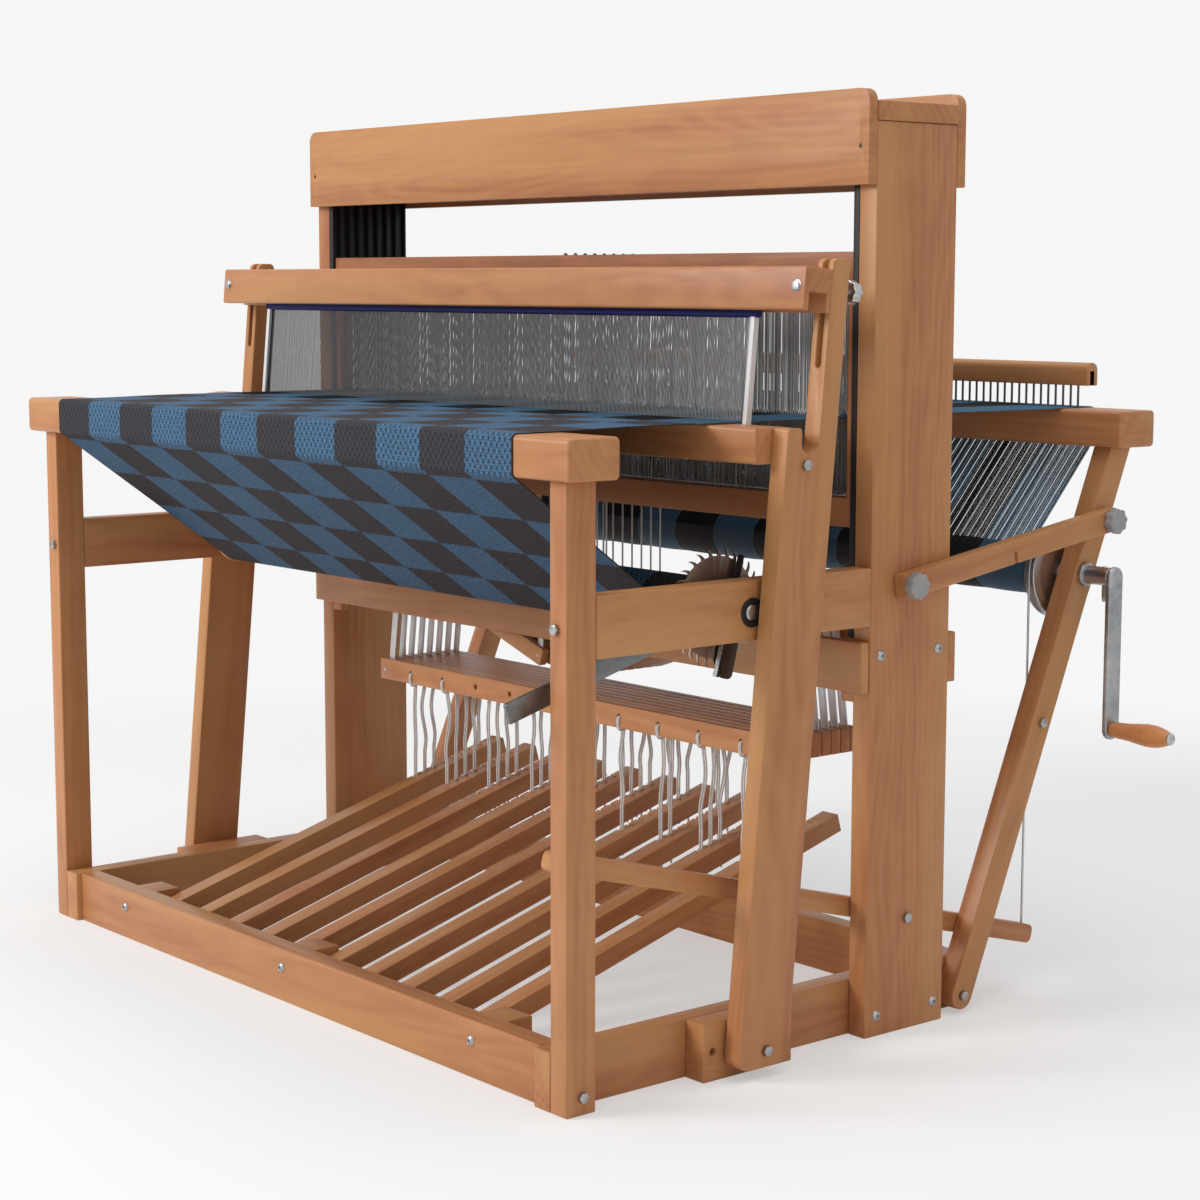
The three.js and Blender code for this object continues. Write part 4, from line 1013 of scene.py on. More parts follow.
# %% Lamms with straps
FIRST_LAMM = 477.0
LAMM_REACH = 439.0
LAMM_HALF = 7.8
LAMM = (319.0, 350.0)
LAMM_HOLE_Z = 334.5
TREADLES = 10
TREADLE_PITCH = 80.2
STRAP_FOOT = 422.0
STRAP_HEAD = 396.0
STRAP_TOP = 517.0
STRAP_WIDE = 13.0


def treadle_x(index):
    return (index - (TREADLES - 1) / 2) * TREADLE_PITCH


def toward(along):
    """The turn that lays the first axis along a line in X and Z."""
    return Matrix.Rotation(-math.atan2(along.z, along.x), 3, "Y")


def strip_between(low, high, wide, thick):
    """Flat steel strip with round ends between two places in X and Z."""
    along = Vector((high[0] - low[0], 0, high[1] - low[1]))
    return solid("strip", bar_line(wide, along.length), thick, "front", edge=0.4, steps=2, turn=toward(along),
                 shift=(low[0], 0, low[1]))


for k in range(SHAFTS):
    y = FIRST_LAMM + PITCH * k
    body = f"lamm_{k + 1}"
    holes = [circle(4.0, treadle_x(t), LAMM_HOLE_Z, 16) for t in range(TREADLES)]
    lamm = solid(f"lamm_board_{k + 1}", rect((-LAMM_REACH, LAMM_REACH), LAMM), (y - LAMM_HALF, y + LAMM_HALF),
                 "front", holes, 0.8, 2)
    wooden(lamm, ALONG_X, body, [body], LIT_WOOD)
    strips = []
    for _, side in SIDES:
        low, high = (side * STRAP_FOOT, LAMM[0] + 8), (side * STRAP_HEAD, STRAP_TOP)
        strips += [strip_between(low, high, STRAP_WIDE, (y - 1, y + 1)),
                   solid("pin", circle(2.4, *high, 16), (y - 6.9, y + 6.9), "front", edge=0.5),
                   solid("screw", circle(2.2, low[0] + side * 6, low[1] + 6, 16), (y - 8.2, y + 8.2), "front",
                         edge=0.4)]
    place(joined(f"lamm_straps_{k + 1}", strips), body, BRIGHT_STRAP)
told("lamms")

# %% Jacks on their rods
JACK_PIVOT = (240.0, 457.0)
JACK_INNER = (58.0, 397.0)
JACK_HALF_WIDE = 12.5
JACK_HALF_THICK = 6.0
LIFT_WIDE = 11

for k in range(SHAFTS):
    y = FIRST_LAMM + PITCH * k
    thick = (y - JACK_HALF_THICK, y + JACK_HALF_THICK)
    for name, side in SIDES:
        pivot = Vector((side * JACK_PIVOT[0], 0, JACK_PIVOT[1]))
        for part, spot, body in (("outer", (STRAP_HEAD, STRAP_TOP), f"lamm_{k + 1}"),
                                 ("inner", JACK_INNER, f"shaft_{k + 1}")):
            end = Vector((side * spot[0], 0, spot[1]))
            along = end - pivot
            reach = along.length + JACK_HALF_WIDE * 0.7
            line = rect((0, reach), (-JACK_HALF_WIDE, JACK_HALF_WIDE), (0, 3, 3, 0))
            arm = solid(f"jack_{k + 1}_{name}_{part}", line, thick, "front", edge=1.2, steps=2,
                        turn=toward(along), shift=pivot)
            bend(grained(arm, along), WOOD, ("frame", body), at(pivot.x, y, pivot.z), at(end.x, y, end.z))
    straps = []
    for _, side in SIDES:
        x = side * JACK_INNER[0]
        low, high = (x, JACK_INNER[1]), (x, LOW_BOARD[1] - 20)
        wire = rect((x - 1.1, x + 1.1), (high[1], SHAFT_BOTTOM + 4))
        straps += [strip_between(low, high, LIFT_WIDE, (y - 1, y + 1)),
                   solid("wire", wire, (y - 1.1, y + 1.1), "front", edge=0.7, steps=2),
                   solid("pin", circle(2.2, *low, 16), (y - 6.4, y + 6.4), "front", edge=0.4)]
    place(joined(f"lift_straps_{k + 1}", straps), f"shaft_{k + 1}", WIRE)
rod_reach = (FACE_FRONT[0] + 3, FACE_BACK[1] - 3)
rods = [solid("rod", circle(5, side * JACK_PIVOT[0], JACK_PIVOT[1]), rod_reach, "front", edge=1.0)
        for _, side in SIDES]
place(joined("jack_rods", rods), "frame", POLISHED)
told("jacks")

# %% Treadles
AXLE = (60.0, 42.0)
TREADLE_TILT = math.radians(16.26)
AXLE_BLOCK = {"y": (37.3, 80.3), "z": (0, 66)}
for t in range(TREADLES):
    name = f"treadle_{t + 1}"
    tread = from_node(f"tread_{t + 1}", name, 1.1)
    wooden(tread, (0, math.cos(TREADLE_TILT), math.sin(TREADLE_TILT)), name, [name])
for name, middle in (("left", -403), ("middle", 0), ("right", 403)):
    wooden(block(f"axle_block_{name}", (middle - 25, middle + 25), **AXLE_BLOCK, edge=2.0), ALONG_Y)
place(rod("treadle_rod", 4, (-429, 429), *AXLE), "frame", POLISHED, ["treadle_axle"])
told("treadles")

# %% [markdown]
# ## Beater
# The beater swings from the base and packs the cloth. Its legs lean back a little, end in a fork and carry
# the race beam in a notch. The reed stands in the race beam's groove, and the hand tree is bolted through the
# forks on top.

# %% Legs and race beam
LEAN_SLOPE = 0.094
LEAN = Matrix.Rotation(math.atan(LEAN_SLOPE), 3, "X").inverted()
LEG_INNER = 597.0
LEG_OUTER = 623.0
LEG_MIDDLE = (LEG_INNER + LEG_OUTER) / 2
LEG_FRONT = 228.0
LEG_BACK = 306.0
ARM = 28.0
FORK_TOP = 941.0
FORK_FLOOR = 817.0
NOTCH = 721.0
FOOT = 13.0
SLOT_HALF = 4.2
RACE_Y = (268.0, 342.0)
RACE_Z = (709.0, 750.0)
REED_Y = 324.5
GROOVE = 5.5


def leaning(y, z, base=PIVOT[1]):
    return y + LEAN_SLOPE * (z - base)


pivot_hole = circle(5.3, *PIVOT)
lip = leaning(LEG_FRONT, BEAM_TOP)
leg_line = rounded([
    (leaning(LEG_FRONT, FOOT), FOOT, 18), (leaning(LEG_BACK, FOOT), FOOT, 9),
    (leaning(LEG_BACK, FORK_TOP), FORK_TOP, 8), (leaning(LEG_BACK, FORK_TOP) - ARM, FORK_TOP, 8),
    (leaning(LEG_BACK, NOTCH) - ARM, NOTCH, 10), (lip + 22, NOTCH, 10),
    (lip + 22, BEAM_TOP, 4), (lip, BEAM_TOP, 4),
])
for name, side in SIDES:
    leg = solid(f"beater_leg_{name}", leg_line, span(side, LEG_INNER, LEG_OUTER), holes=[pivot_hole], edge=0)
    x = side * LEG_MIDDLE
    slot_floor = arc((x, FORK_FLOOR + SLOT_HALF), SLOT_HALF, 180, 360, 10)
    slot_line = slot_floor + [(x + SLOT_HALF, 1000), (x - SLOT_HALF, 1000)]
    carved(leg, solid("cutter", slot_line, (240, 420), "front", edge=0), 2.2)
    wooden(leg, (0, LEAN_SLOPE, 1), "beater", ["beater_frame"])

race_line = rounded([
    (RACE_Y[0], RACE_Z[0], 4), (RACE_Y[1], RACE_Z[0], 4), (RACE_Y[1], 742, 2), (REED_Y - 0.8 + GROOVE, 742),
    (REED_Y - 2.1 + GROOVE, 728), (REED_Y - 2.1 - GROOVE, 728), (REED_Y - GROOVE, RACE_Z[1], 1.5),
    (RACE_Y[0], RACE_Z[1], 3.5),
], 3)
wooden(solid("race_beam", race_line, (-597.2, 597.2), edge=1.0, steps=2), ALONG_X, "beater")
told("beater frame")

# %% [markdown]
# The reed is a comb of thin steel wires between two baulks, the top one wrapped in navy tape. Its wires are a
# row of one tiny strip, and they are bent after the lean of the beater by turning the whole row.

# %% Reed
REED_REACH = 539.0
REED_LOW = 728.7
REED_TALL = 166.0
BAULK = 14.0
DENTS = 420
DENT_REACH = 513.5
TAPE_REACH = 530.0
REED_MIDDLE = leaning(REED_Y, REED_LOW, BEAM_TOP)
REED_SPACE = (REED_LOW + BAULK, REED_LOW + REED_TALL - BAULK)


def reed_part(thing, material, nodes=()):
    """Places a part drawn upright, turned about a line along the loom so that it leans with the beater."""
    pivot = at(0, REED_MIDDLE, REED_LOW)
    thing.data.transform(Matrix.Translation(pivot) @ LEAN.to_4x4() @ Matrix.Translation(-pivot))
    place(thing, "beater", material, nodes)


def reed_bar(name, x, half_thick, z, edge, material, nodes=()):
    reed_part(block(name, x, (REED_MIDDLE - half_thick, REED_MIDDLE + half_thick), z, edge), material, nodes)


reed_bar("reed_baulk_low", (-REED_REACH, REED_REACH), 4.5, (REED_LOW, REED_SPACE[0]), 1.5, WHITE_BAR, ["reed"])
reed_bar("reed_baulk_top", (-TAPE_REACH, TAPE_REACH), 5.4, (REED_SPACE[1] - 7, REED_LOW + REED_TALL), 3.0,
         NAVY_TAPE)
for name, side in SIDES:
    reed_bar(f"reed_end_{name}", span(side, 518.5, 526), 4.2, REED_SPACE, 1.2, WHITE_BAR)
    reed_bar(f"reed_edge_{name}", span(side, 514.5, 517.5), 3, REED_SPACE, 0.6, DARK_STEEL)
dent_line = rect((-0.22, 0.22), (0, REED_TALL - 2 * BAULK))
dent = as_pattern(solid("pattern", dent_line, (-0.5, 0.5), "front", edge=0))
first = (-DENT_REACH, REED_MIDDLE, REED_SPACE[0])
dents = row("reed_dents", dent, DENTS, first, (2 * DENT_REACH / (DENTS - 1), 0, 0), DENT, (0.12, 0, 0), 0, 5)
reed_part(dents, DENT)
told("reed")

# %% Hand tree
TREE_BACK = 21.0
TREE_TOP = 25.0
TREE_MIDDLE = (338.8, 905.6)
BOLT_RISE = 2.6
tree_part = partial(solid, turn=LEAN, shift=(0, *TREE_MIDDLE))
tree_line = rounded([
    (-TREE_BACK, -TREE_TOP, 3), (-TREE_BACK + 8, -TREE_TOP, 1), (-TREE_BACK + 8, -TREE_TOP + 22, 2),
    (-TREE_BACK + 36, -TREE_TOP + 22, 2), (-TREE_BACK + 36, -TREE_TOP, 1), (TREE_BACK, -TREE_TOP, 1),
    (TREE_BACK, TREE_TOP, 3), (-TREE_BACK, TREE_TOP, 3),
], 4)
tree = tree_part("hand_tree_rail", tree_line, (-LEG_OUTER, LEG_OUTER), edge=2.4)
wooden(tree, ALONG_X, "hand_tree", ["hand_tree"])


def star_line(radius, lobes=8, valley=0.84, steps=6):
    """Star knob: round lobes with shallow valleys between."""
    middle, swing = radius * (1 + valley) / 2, radius * (1 - valley) / 2
    turns = [2 * math.pi * k / (lobes * steps) for k in range(lobes * steps)]
    reaches = [middle + swing * math.cos(lobes * a) for a in turns]
    return [(reach * math.cos(a), reach * math.sin(a)) for reach, a in zip(reaches, turns)]


for name, side in SIDES:
    x = side * LEG_MIDDLE
    parts = [tree_part(part, circle(radius, x, BOLT_RISE, sides), reach, "front", edge=edge, steps=steps)
             for part, radius, sides, reach, edge, steps in (
                 ("bolt", 3.5, 24, (-TREE_BACK - 2, TREE_BACK + ARM + 22), 0.5, 3),
                 ("rim", 6.9, 32, (-TREE_BACK - 0.9, -TREE_BACK), 0.3, 2),
                 ("head", 5.9, 32, (-TREE_BACK - 3.4, -TREE_BACK - 0.8), 1.5, 4))]
    place(joined(f"tree_bolt_{name}", parts), "hand_tree", POLISHED)
    knob_line = [(x + a, b + BOLT_RISE) for a, b in star_line(14.5)]
    knob_reach = (TREE_BACK + ARM + 10, TREE_BACK + ARM + 23)
    place(tree_part(f"tree_knob_{name}", knob_line, knob_reach, "front", edge=2.2), "hand_tree", POLISHED)
told("hand tree")

# %% [markdown]
# ## Cloth beam, ratchet and its two levers
# The cloth winds on the beam in front. A saw-tooth wheel on its axle is pushed round by the advance lever and
# held by a pawl with a black channel. The wheel is one outline with hooked teeth, drawn by a loop.

# %% Cloth beam
RATCHET = 71.0
TEETH = 30
TOOTH = 11.0
TOOTH_PATH = ((0, 1), (0.14, 0.66), (0.36, 0.30), (0.70, 0), (0.48, 0.42), (0.36, 0.78), (0.40, 1))
CLOTH_HUB = [(517.5, 12), (517.5, 34.8), (518.7, 36), (521.8, 36), (523, 34.8), (523, 12)]
BUSHING = [(590.05, 9.8), (590.05, 17), (591.3, 17), (591.9, 16), (591.9, 10.6), (591.3, 9.8)]
AXLE_CAP = [(589.9, 9.6), (591.0, 9.4), (592.4, 7.6), (592.9, 4), (593.0, 0)]
COLLAR = [(523, 12), (523, 22), (533, 22), (533, 12)]

place(rod("cloth_axle", 12, (-HALF_WIDTH, HALF_WIDTH), *CLOTH_AXLE), "cloth_beam", POLISHED, ["cloth_beam"])
for name, side in SIDES:
    wooden(turned(f"cloth_hub_{name}", sided(side, CLOTH_HUB), *CLOTH_AXLE), ALONG_Y, "cloth_beam")
    place(turned(f"bushing_{name}", sided(side, BUSHING), *CLOTH_AXLE), "frame", BLACK)
    place(turned(f"axle_cap_{name}", sided(side, AXLE_CAP), *CLOTH_AXLE), "cloth_beam", BOLT)

wheel_line = []
for tooth in range(TEETH):
    for share, depth in TOOTH_PATH:
        angle = 2 * math.pi * (tooth + share) / TEETH
        radius = RATCHET - TOOTH * depth
        wheel_line.append((CLOTH_AXLE[0] + radius * math.cos(angle), CLOTH_AXLE[1] + radius * math.sin(angle)))
wheel = solid("ratchet_wheel", wheel_line, (528.4, 531.0), holes=[circle(12.3, *CLOTH_AXLE, 32)], edge=0.3,
              steps=2)
place(wheel, "cloth_beam", SAW_STEEL)
place(turned("ratchet_collar", COLLAR, *CLOTH_AXLE), "cloth_beam", DARK_STEEL)
told("cloth beam")

# %% Advance lever and holding pawl
AXLE_SHIFT = (0, *CLOTH_AXLE)
LEVER_X = (539.75, 544.25)
PAWL_X = (533.0, 539.4)
AXLE_HOLE = circle(12.4, 0, 0, 32)
lever_part = partial(solid, turn=Matrix.Rotation(math.radians(15.9), 3, "X"), shift=AXLE_SHIFT, edge=0.6)
pawl_part = partial(solid, turn=Matrix.Rotation(math.radians(-15), 3, "X"), shift=AXLE_SHIFT, steps=2)

lever_line = arc((-327, 9.75), 2, 90, 180, 3) + arc((-327, -9.75), 2, 180, 270, 3)
lever_line += arc((0, 0), 22, -147.7, 147.7, 40)
plate = lever_part("lever_plate", lever_line, LEVER_X, holes=[AXLE_HOLE], steps=2)
place(plate, "advance_lever", SHADED_LEVER_STEEL, ["advance_lever"])
push = lever_part("push_pawl", rect((-87, -72.4), (-6, 6), (2, 1, 4, 2)), (524, 540))
place(push, "advance_lever", DARK_STEEL)

channel_line = rounded([(12.4, -79, 1.2), (17.6, -79, 1.2), (19.0, 66, 2), (13.8, 66, 2)])
place(pawl_part("pawl_channel", channel_line, PAWL_X, edge=0.6), "holding_pawl", BLACK, ["holding_pawl"])
trim_line = [(11.7, -79), (12.9, -79), (13.6, -16), (12.4, -16)]
place(pawl_part("pawl_trim", trim_line, (534.2, 540.0), edge=0.25), "holding_pawl", POLISHED)
hub = pawl_part("pawl_hub", circle(21.5, 0, 0, 48), (533.4, 539.2), holes=[AXLE_HOLE], edge=0.8)
place(hub, "holding_pawl", BLACK)
block_line = rounded([(18.4, -79, 7), (38.0, -79, 7), (37.0, -14, 3), (18.9, -14, 3)])
pawl_block = pawl_part("pawl_block", block_line, (533.2, 539.3), edge=1.2)
place(pawl_block, "holding_pawl", PAWL_BROWN)
told("levers")

# %% [markdown]
# ## Back frame
# Two leaning legs turn about bolts near the floor and carry the back beam with its raddle, a comb of steel
# pins under a long cap, that spreads the warp.

# %% Legs, back beam and raddle
FOLD = (641.0, 23.0)
BACK_LEAN = math.radians(22.7)
BACK_LEG_HALF = 18.25
WARP_AXLE = (857.9, 541.5)
BACK_BEAM = (893.0, 963.0)
RADDLE_Y = 928.0
RADDLE_REACH = 537.0
PINS = 82
PIN_STEP = 12.7


def back_leg_y(z):
    return FOLD[0] + math.tan(BACK_LEAN) * (z - FOLD[1])


across = BACK_LEG_HALF / math.cos(BACK_LEAN)
foot_start = 180 - math.degrees(BACK_LEAN)
back_leg_line = arc(FOLD, BACK_LEG_HALF, foot_start, foot_start + 180, 16)
back_leg_line += [(back_leg_y(POST_TOP) + across, POST_TOP), (back_leg_y(POST_TOP) - across, POST_TOP)]
for name, side in SIDES:
    leg = solid(f"back_leg_board_{name}", back_leg_line, span(side, INNER, HALF_WIDTH),
                holes=[circle(5.3, *FOLD), circle(12.4, *WARP_AXLE, 32)])
    wooden(leg, (0, math.tan(BACK_LEAN), 1), "back_frame", [f"back_leg_{name}"])
beam = solid("back_beam_board", beam_line(BACK_BEAM), (-BEAM_REACH, BEAM_REACH), edge=2.4)
wooden(beam, ALONG_X, "back_frame", ["back_beam"])
cap_line = rounded([(RADDLE_Y - 11, 780, 1.5), (RADDLE_Y - 3, 780, 1), (RADDLE_Y - 3, 798), (RADDLE_Y + 3, 798),
                    (RADDLE_Y + 3, 780, 1), (RADDLE_Y + 11, 780, 1.5), (RADDLE_Y + 11, 810, 10),
                    (RADDLE_Y - 11, 810, 10)])
cap = solid("raddle_cap", cap_line, (-RADDLE_REACH, RADDLE_REACH), edge=1.2, steps=2)
wooden(cap, ALONG_X, "back_frame")
pin = as_pattern(solid("pattern", circle(1.55, 0, 0, 10), (740, 789), "plan", edge=0))
first = (-PIN_STEP * (PINS - 1) / 2, RADDLE_Y, 0)
pins = row("raddle_pins", pin, PINS, first, (PIN_STEP, 0, 0), DARK_STEEL, (0.15, 0.1, 0), 0, 9)
place(pins, "back_frame", DARK_STEEL)
told("back frame")

# %% Braces with star knobs
BRACE_AT = (518.0, 554.0)
BRACE_END = (back_leg_y(610.0), 610.0)
BRACE_X = (590.3, 609.0)
NOTCH_AT = (187, -15)
brace_run = Vector((0, BRACE_END[0] - BRACE_AT[0], BRACE_END[1] - BRACE_AT[1]))
BRACE_TURN = Matrix.Rotation(math.atan2(brace_run.z, brace_run.y), 3, "X")
brace_part = partial(solid, turn=BRACE_TURN)
brace_line = rect((-13, brace_run.length + 13), (-15, 15), (3, 3, 3, 3))
notch_line = rect((-2.4, 2.4), (-20, 15))


def on_brace(along, up=0):
    return BRACE_TURN @ Vector((0, along, up)) + Vector((0, *BRACE_AT))


for name, side in SIDES:
    body = f"brace_{name}"
    reach = span(side, *BRACE_X)
    bar = brace_part(f"brace_bar_{name}", brace_line, reach, edge=0, shift=(0, *BRACE_AT))
    notch = brace_part("cutter", notch_line, (reach[0] - 5, reach[1] + 5), edge=0, shift=on_brace(*NOTCH_AT))
    carved(bar, notch, 2.0)
    wooden(bar, brace_run, body, [body])
    for end, along in (("front", 0.0), ("rear", brace_run.length)):
        knob = brace_part(f"star_knob_{end}_{name}", star_line(17), span(side, 609, 622), edge=3.0,
                          shift=on_brace(along))
        place(knob, body, KNOB)
told("braces")

# %% [markdown]
# ## Warp beam, brake and crank
# The warp waits on the back roll between two wooden hubs. A cable round a grooved drum brakes it, and a pedal
# lets the cable go. The cable hangs from the back frame onto the pedal's bar.
# The crank outside winds the warp on.

# %% Warp beam and brake
WARP_ROLL = 33.0
WARP_HUB = [(513, 12), (513, 27), (524, 27), (525.3, 25.7), (525.3, 12)]
DRUM = [(540, 12), (540, 59.2), (540.8, 60), (542.6, 60), (543.6, 57), (552.4, 57), (553.4, 60), (555.2, 60),
        (556, 59.2), (556, 47), (553.5, 45), (553.5, 12)]
DRUM_DISC = [(553.5, 12), (553.5, 46), (554.4, 46), (554.4, 12)]
AXLE_COLLAR = [(590.3, 12), (590.3, 9.8), (590.3, 10.5), (599.6, 10.5), (600, 10), (600, 8)]
CABLE_X = 548.0
CABLE = 1.5
CABLE_ROUND = 58.8
PEDAL_AT = (535.0, 141.0)
PEDAL_HALF = 12
PEDAL_TILT = math.radians(15)

place(rod("warp_axle", 12, (-593, 634), *WARP_AXLE), "warp_beam", POLISHED, ["warp_beam"])
for name, side in SIDES:
    wooden(turned(f"warp_hub_{name}", sided(side, WARP_HUB), *WARP_AXLE), ALONG_Z, "warp_beam")
place(turned("brake_drum", DRUM, *WARP_AXLE, 64), "warp_beam", POLISHED)
place(turned("drum_disc", DRUM_DISC, *WARP_AXLE, 48), "warp_beam", SAW_STEEL)
place(turned("axle_collar", AXLE_COLLAR, *WARP_AXLE), "warp_beam", DARK_STEEL)

pedal_line = rect((-548, 280), (-PEDAL_HALF, PEDAL_HALF), (8, 8, 8, 8))
pedal = solid("brake_pedal_bar", pedal_line, (540, 560), holes=[circle(4.3)], edge=2.2,
              turn=Matrix.Rotation(-PEDAL_TILT, 3, "X"), shift=(0, *PEDAL_AT))
wooden(pedal, (0, math.cos(PEDAL_TILT), -math.sin(PEDAL_TILT)), "brake_pedal", ["brake_pedal"])

drop_y = WARP_AXLE[0] - CABLE_ROUND
pedal_top = PEDAL_AT[1] - math.tan(PEDAL_TILT) * (drop_y - PEDAL_AT[0]) + PEDAL_HALF / math.cos(PEDAL_TILT)
drop = [(CABLE_X, drop_y, pedal_top + (WARP_AXLE[1] - pedal_top) * k / 24) for k in range(24)]
wrap = [(CABLE_X, y, z) for y, z in arc(WARP_AXLE, CABLE_ROUND, 180, -90, 60)]
cable = threads("brake_cable_line", [drop + wrap], CABLE, POLISHED, 10)
bend(cable, POLISHED, ("back_frame", "frame"), at(CABLE_X, drop_y, WARP_AXLE[1] - 80),
     at(CABLE_X, drop_y, pedal_top + 6), ["brake_cable"])
told("warp beam and brake")

# %% Crank
HANDLE_Z = WARP_AXLE[1] - 196.0
HANDLE = (642.6, 732.6)
HANDLE_RADIUS = 14.5
PIN_X = 623.1
SOCKET = [(590.6, 9), (590.6, 14.2), (591.4, 15), (595.6, 15), (596.4, 14.2), (596.4, 9.5), (639.7, 9.5),
          (640.3, 8.9), (640.3, 0)]
# Half the cross pin's outline, as (from the middle, above the axle). The other half mirrors it.
PIN_HALF = [(1.2, -33), (2.8, -26), (2.8, 11.5), (1.5, 13)]
# The grip's profile, as shares of its length and of its radius, with two grooves near the thick end.
GRIP = [(0, 0.64), (0.02, 0.70), (0.12, 0.72), (0.30, 0.78), (0.45, 0.90), (0.60, 1.0), (0.625, 1.0),
        (0.63, 0.955), (0.64, 1.0), (0.665, 1.0), (0.67, 0.955), (0.68, 1.0), (0.72, 0.99), (0.80, 0.93),
        (0.90, 0.78), (0.97, 0.60), (1.0, 0.54)]
GRIP_CAP = [(-1, 0), (-1, 7.4), (1.5, 7.8), (3.6, 6), (4.3, 3), (4.3, 0)]

arm = solid("arm", bar_line(27, 196), (634.5, 642.3), edge=2.4, turn=Matrix.Rotation(math.radians(-90), 3, "X"),
            shift=(0, *WARP_AXLE))
place(joined("crank_arm", [turned("socket", SOCKET, *WARP_AXLE), arm]), "warp_beam", GALVANISED, ["crank"])
right = [(PIN_X + a, WARP_AXLE[1] + b) for a, b in PIN_HALF]
left = [(PIN_X - a, WARP_AXLE[1] + b) for a, b in PIN_HALF]
pin_reach = (WARP_AXLE[0] - 2.8, WARP_AXLE[0] + 2.8)
pin = solid("cross_pin", left[:1] + right + left[:0:-1], pin_reach, "front", edge=1.2)
place(pin, "warp_beam", POLISHED)
profile = [(HANDLE[0], 4.4)] + [(HANDLE[0] + 90 * a, HANDLE_RADIUS * r) for a, r in GRIP] + [(HANDLE[1], 4.4)]
grip = turned("handle_grip", profile, WARP_AXLE[0], HANDLE_Z)
wooden(grip, ALONG_X, "crank_handle", ["crank_handle"], LIT_HANDLE_WOOD)
end = [(HANDLE[1] + a, r) for a, r in GRIP_CAP]
place(turned("handle_cap", end, WARP_AXLE[0], HANDLE_Z, 32), "warp_beam", POLISHED)
told("crank")

# %% [markdown]
# ## Cloth
# The cloth is a stretched sheet: off its roll, up round the breast beam, and back to the fell, the line where
# the last weft was beaten in. It could be a flat card with a picture of checks, but then its edge and the
# turn round the beam would be wrong. Here it is a sheet with its own thickness that carries how far each
# point is across the cloth and along it, and the finish weaves the checks and the stitches from those two
# lengths. The stitches carry painted light and shade: the crowns of the strands are painted lighter, and
# the gaps between stitches are painted shade, nearly black.

# %% Finish of the weave
CHECK_WIDE = 0.0862
CHECK_LONG = 0.086
CLOTH_HALF = 0.517
STITCH_WIDE = 0.0098
STITCH_LONG = 0.0128
STRAND = 0.0021
STRAND_BEND = 0.0013
PICK = 0.0034
SELVAGE = 0.0016
FACE_END = (-0.085, -0.072)
GAP_SOFT = (0.40, 0.85)
# In each tone the thread colour is the strands' lit crowns and the body colour their shaded sides, painted
# light and shade; the gap colour is painted shade between stitches.
BLUE = {"thread": (0.098, 0.235, 0.41), "body": (0.022, 0.068, 0.132), "shaded_gap": (0.003, 0.008, 0.018)}
CHARCOAL = {"thread": (0.052, 0.047, 0.058), "body": (0.013, 0.011, 0.015), "shaded_gap": (0.003, 0.002, 0.004)}
SELVAGE_TONE = (0.010, 0.010, 0.012)
SHADE_TONE = (0.02, 0.022, 0.03)


def stripe_of(across):
    """1 in the blue columns and 0 in the charcoal ones."""
    return (((across + CLOTH_HALF) / CHECK_WIDE).maths("FLOOR") + 24).maths("MODULO", 2.0)


def make_cloth():
    material, g = surface("checked_cloth")
    weave = carried(g, "weave")
    across, along = parts_of(g, weave, 0, 1)
    stray = noise(g, weave, 420.0, 2.0)
    slow = noise(g, weave, 14.0, 2.0)
    turn_x = across * (2 * math.pi / STITCH_WIDE)
    turn_y = along * (2 * math.pi / STITCH_LONG) + (slow - 0.5) * 4
    row_at = ((along + (stray - 0.5) * 0.010) / CHECK_LONG).maths("FLOOR")
    blue = (stripe_of(across + turn_y.maths("SINE") * 0.0005) + row_at + 101).maths("MODULO", 2.0)
    lattice = turn_x.maths("COSINE") * turn_y.maths("COSINE")
    narrow = turn_x.maths("COSINE").maths("ABSOLUTE") * lattice
    parted = across + turn_x.maths("SINE") * turn_y.maths("COSINE") * STRAND_BEND
    strand = (parted * (2 * math.pi / STRAND) + (stray - 0.5) * 4.0).wave()
    face = ranged(g, along, *FACE_END)
    # Painted shade: the gaps between stitches darken nearly to black.
    shaded_gap = ranged(g, narrow + (stray - 0.5) * 0.9, *GAP_SOFT) * (face * 0.8 + 0.2)
    pick = (along + (slow - 0.5) * 0.004) * (2 * math.pi / PICK)
    ribbed = strand * (face * 0.4 + 0.1) + pick.maths("SINE") * (face * -0.26 + 0.40)
    # Painted light: lit picks the strands' crowns and ribs out of the shaded body colour.
    lit = ranged(g, ribbed + (stray - 0.5) * (face * -1.6 + 3.6) - lattice * face * 0.25 + 0.18, 0.1, 1.0)
    colours = [blended(g, shaded_gap, blended(g, lit, tone["body"], tone["thread"]), tone["shaded_gap"])
               for tone in (CHARCOAL, BLUE)]
    edge = across.maths("ABSOLUTE").maths("GREATER_THAN", CLOTH_HALF - SELVAGE)
    cloth = blended(g, edge, blended(g, blue, *colours), SELVAGE_TONE)
    return finish(material, g, {
        "Specular IOR Level": 0.35, "Base Color": blended(g, slow * 0.28, cloth, SHADE_TONE),
        "Roughness": stray * 0.10 + 0.74,
        "Normal": bumped(g, lit * 0.7 - shaded_gap * 1.2 + stray * 0.3, 0.6, 0.0011),
    })


CLOTH = make_cloth()
print("cloth finish", CLOTH.name)

# %% Sheet of cloth and its roll
CLOTH_THICK = 1.1
CLOTH_ROLL = 33.0
CLOTH_COLUMNS = 60
CLOTH_ANGLE = math.radians(60)
SEAT = 0.9
ROW_START = 14.0
RISE_AT = 150.0
FELL = 250.0
WEB_HEIGHT = 752.5


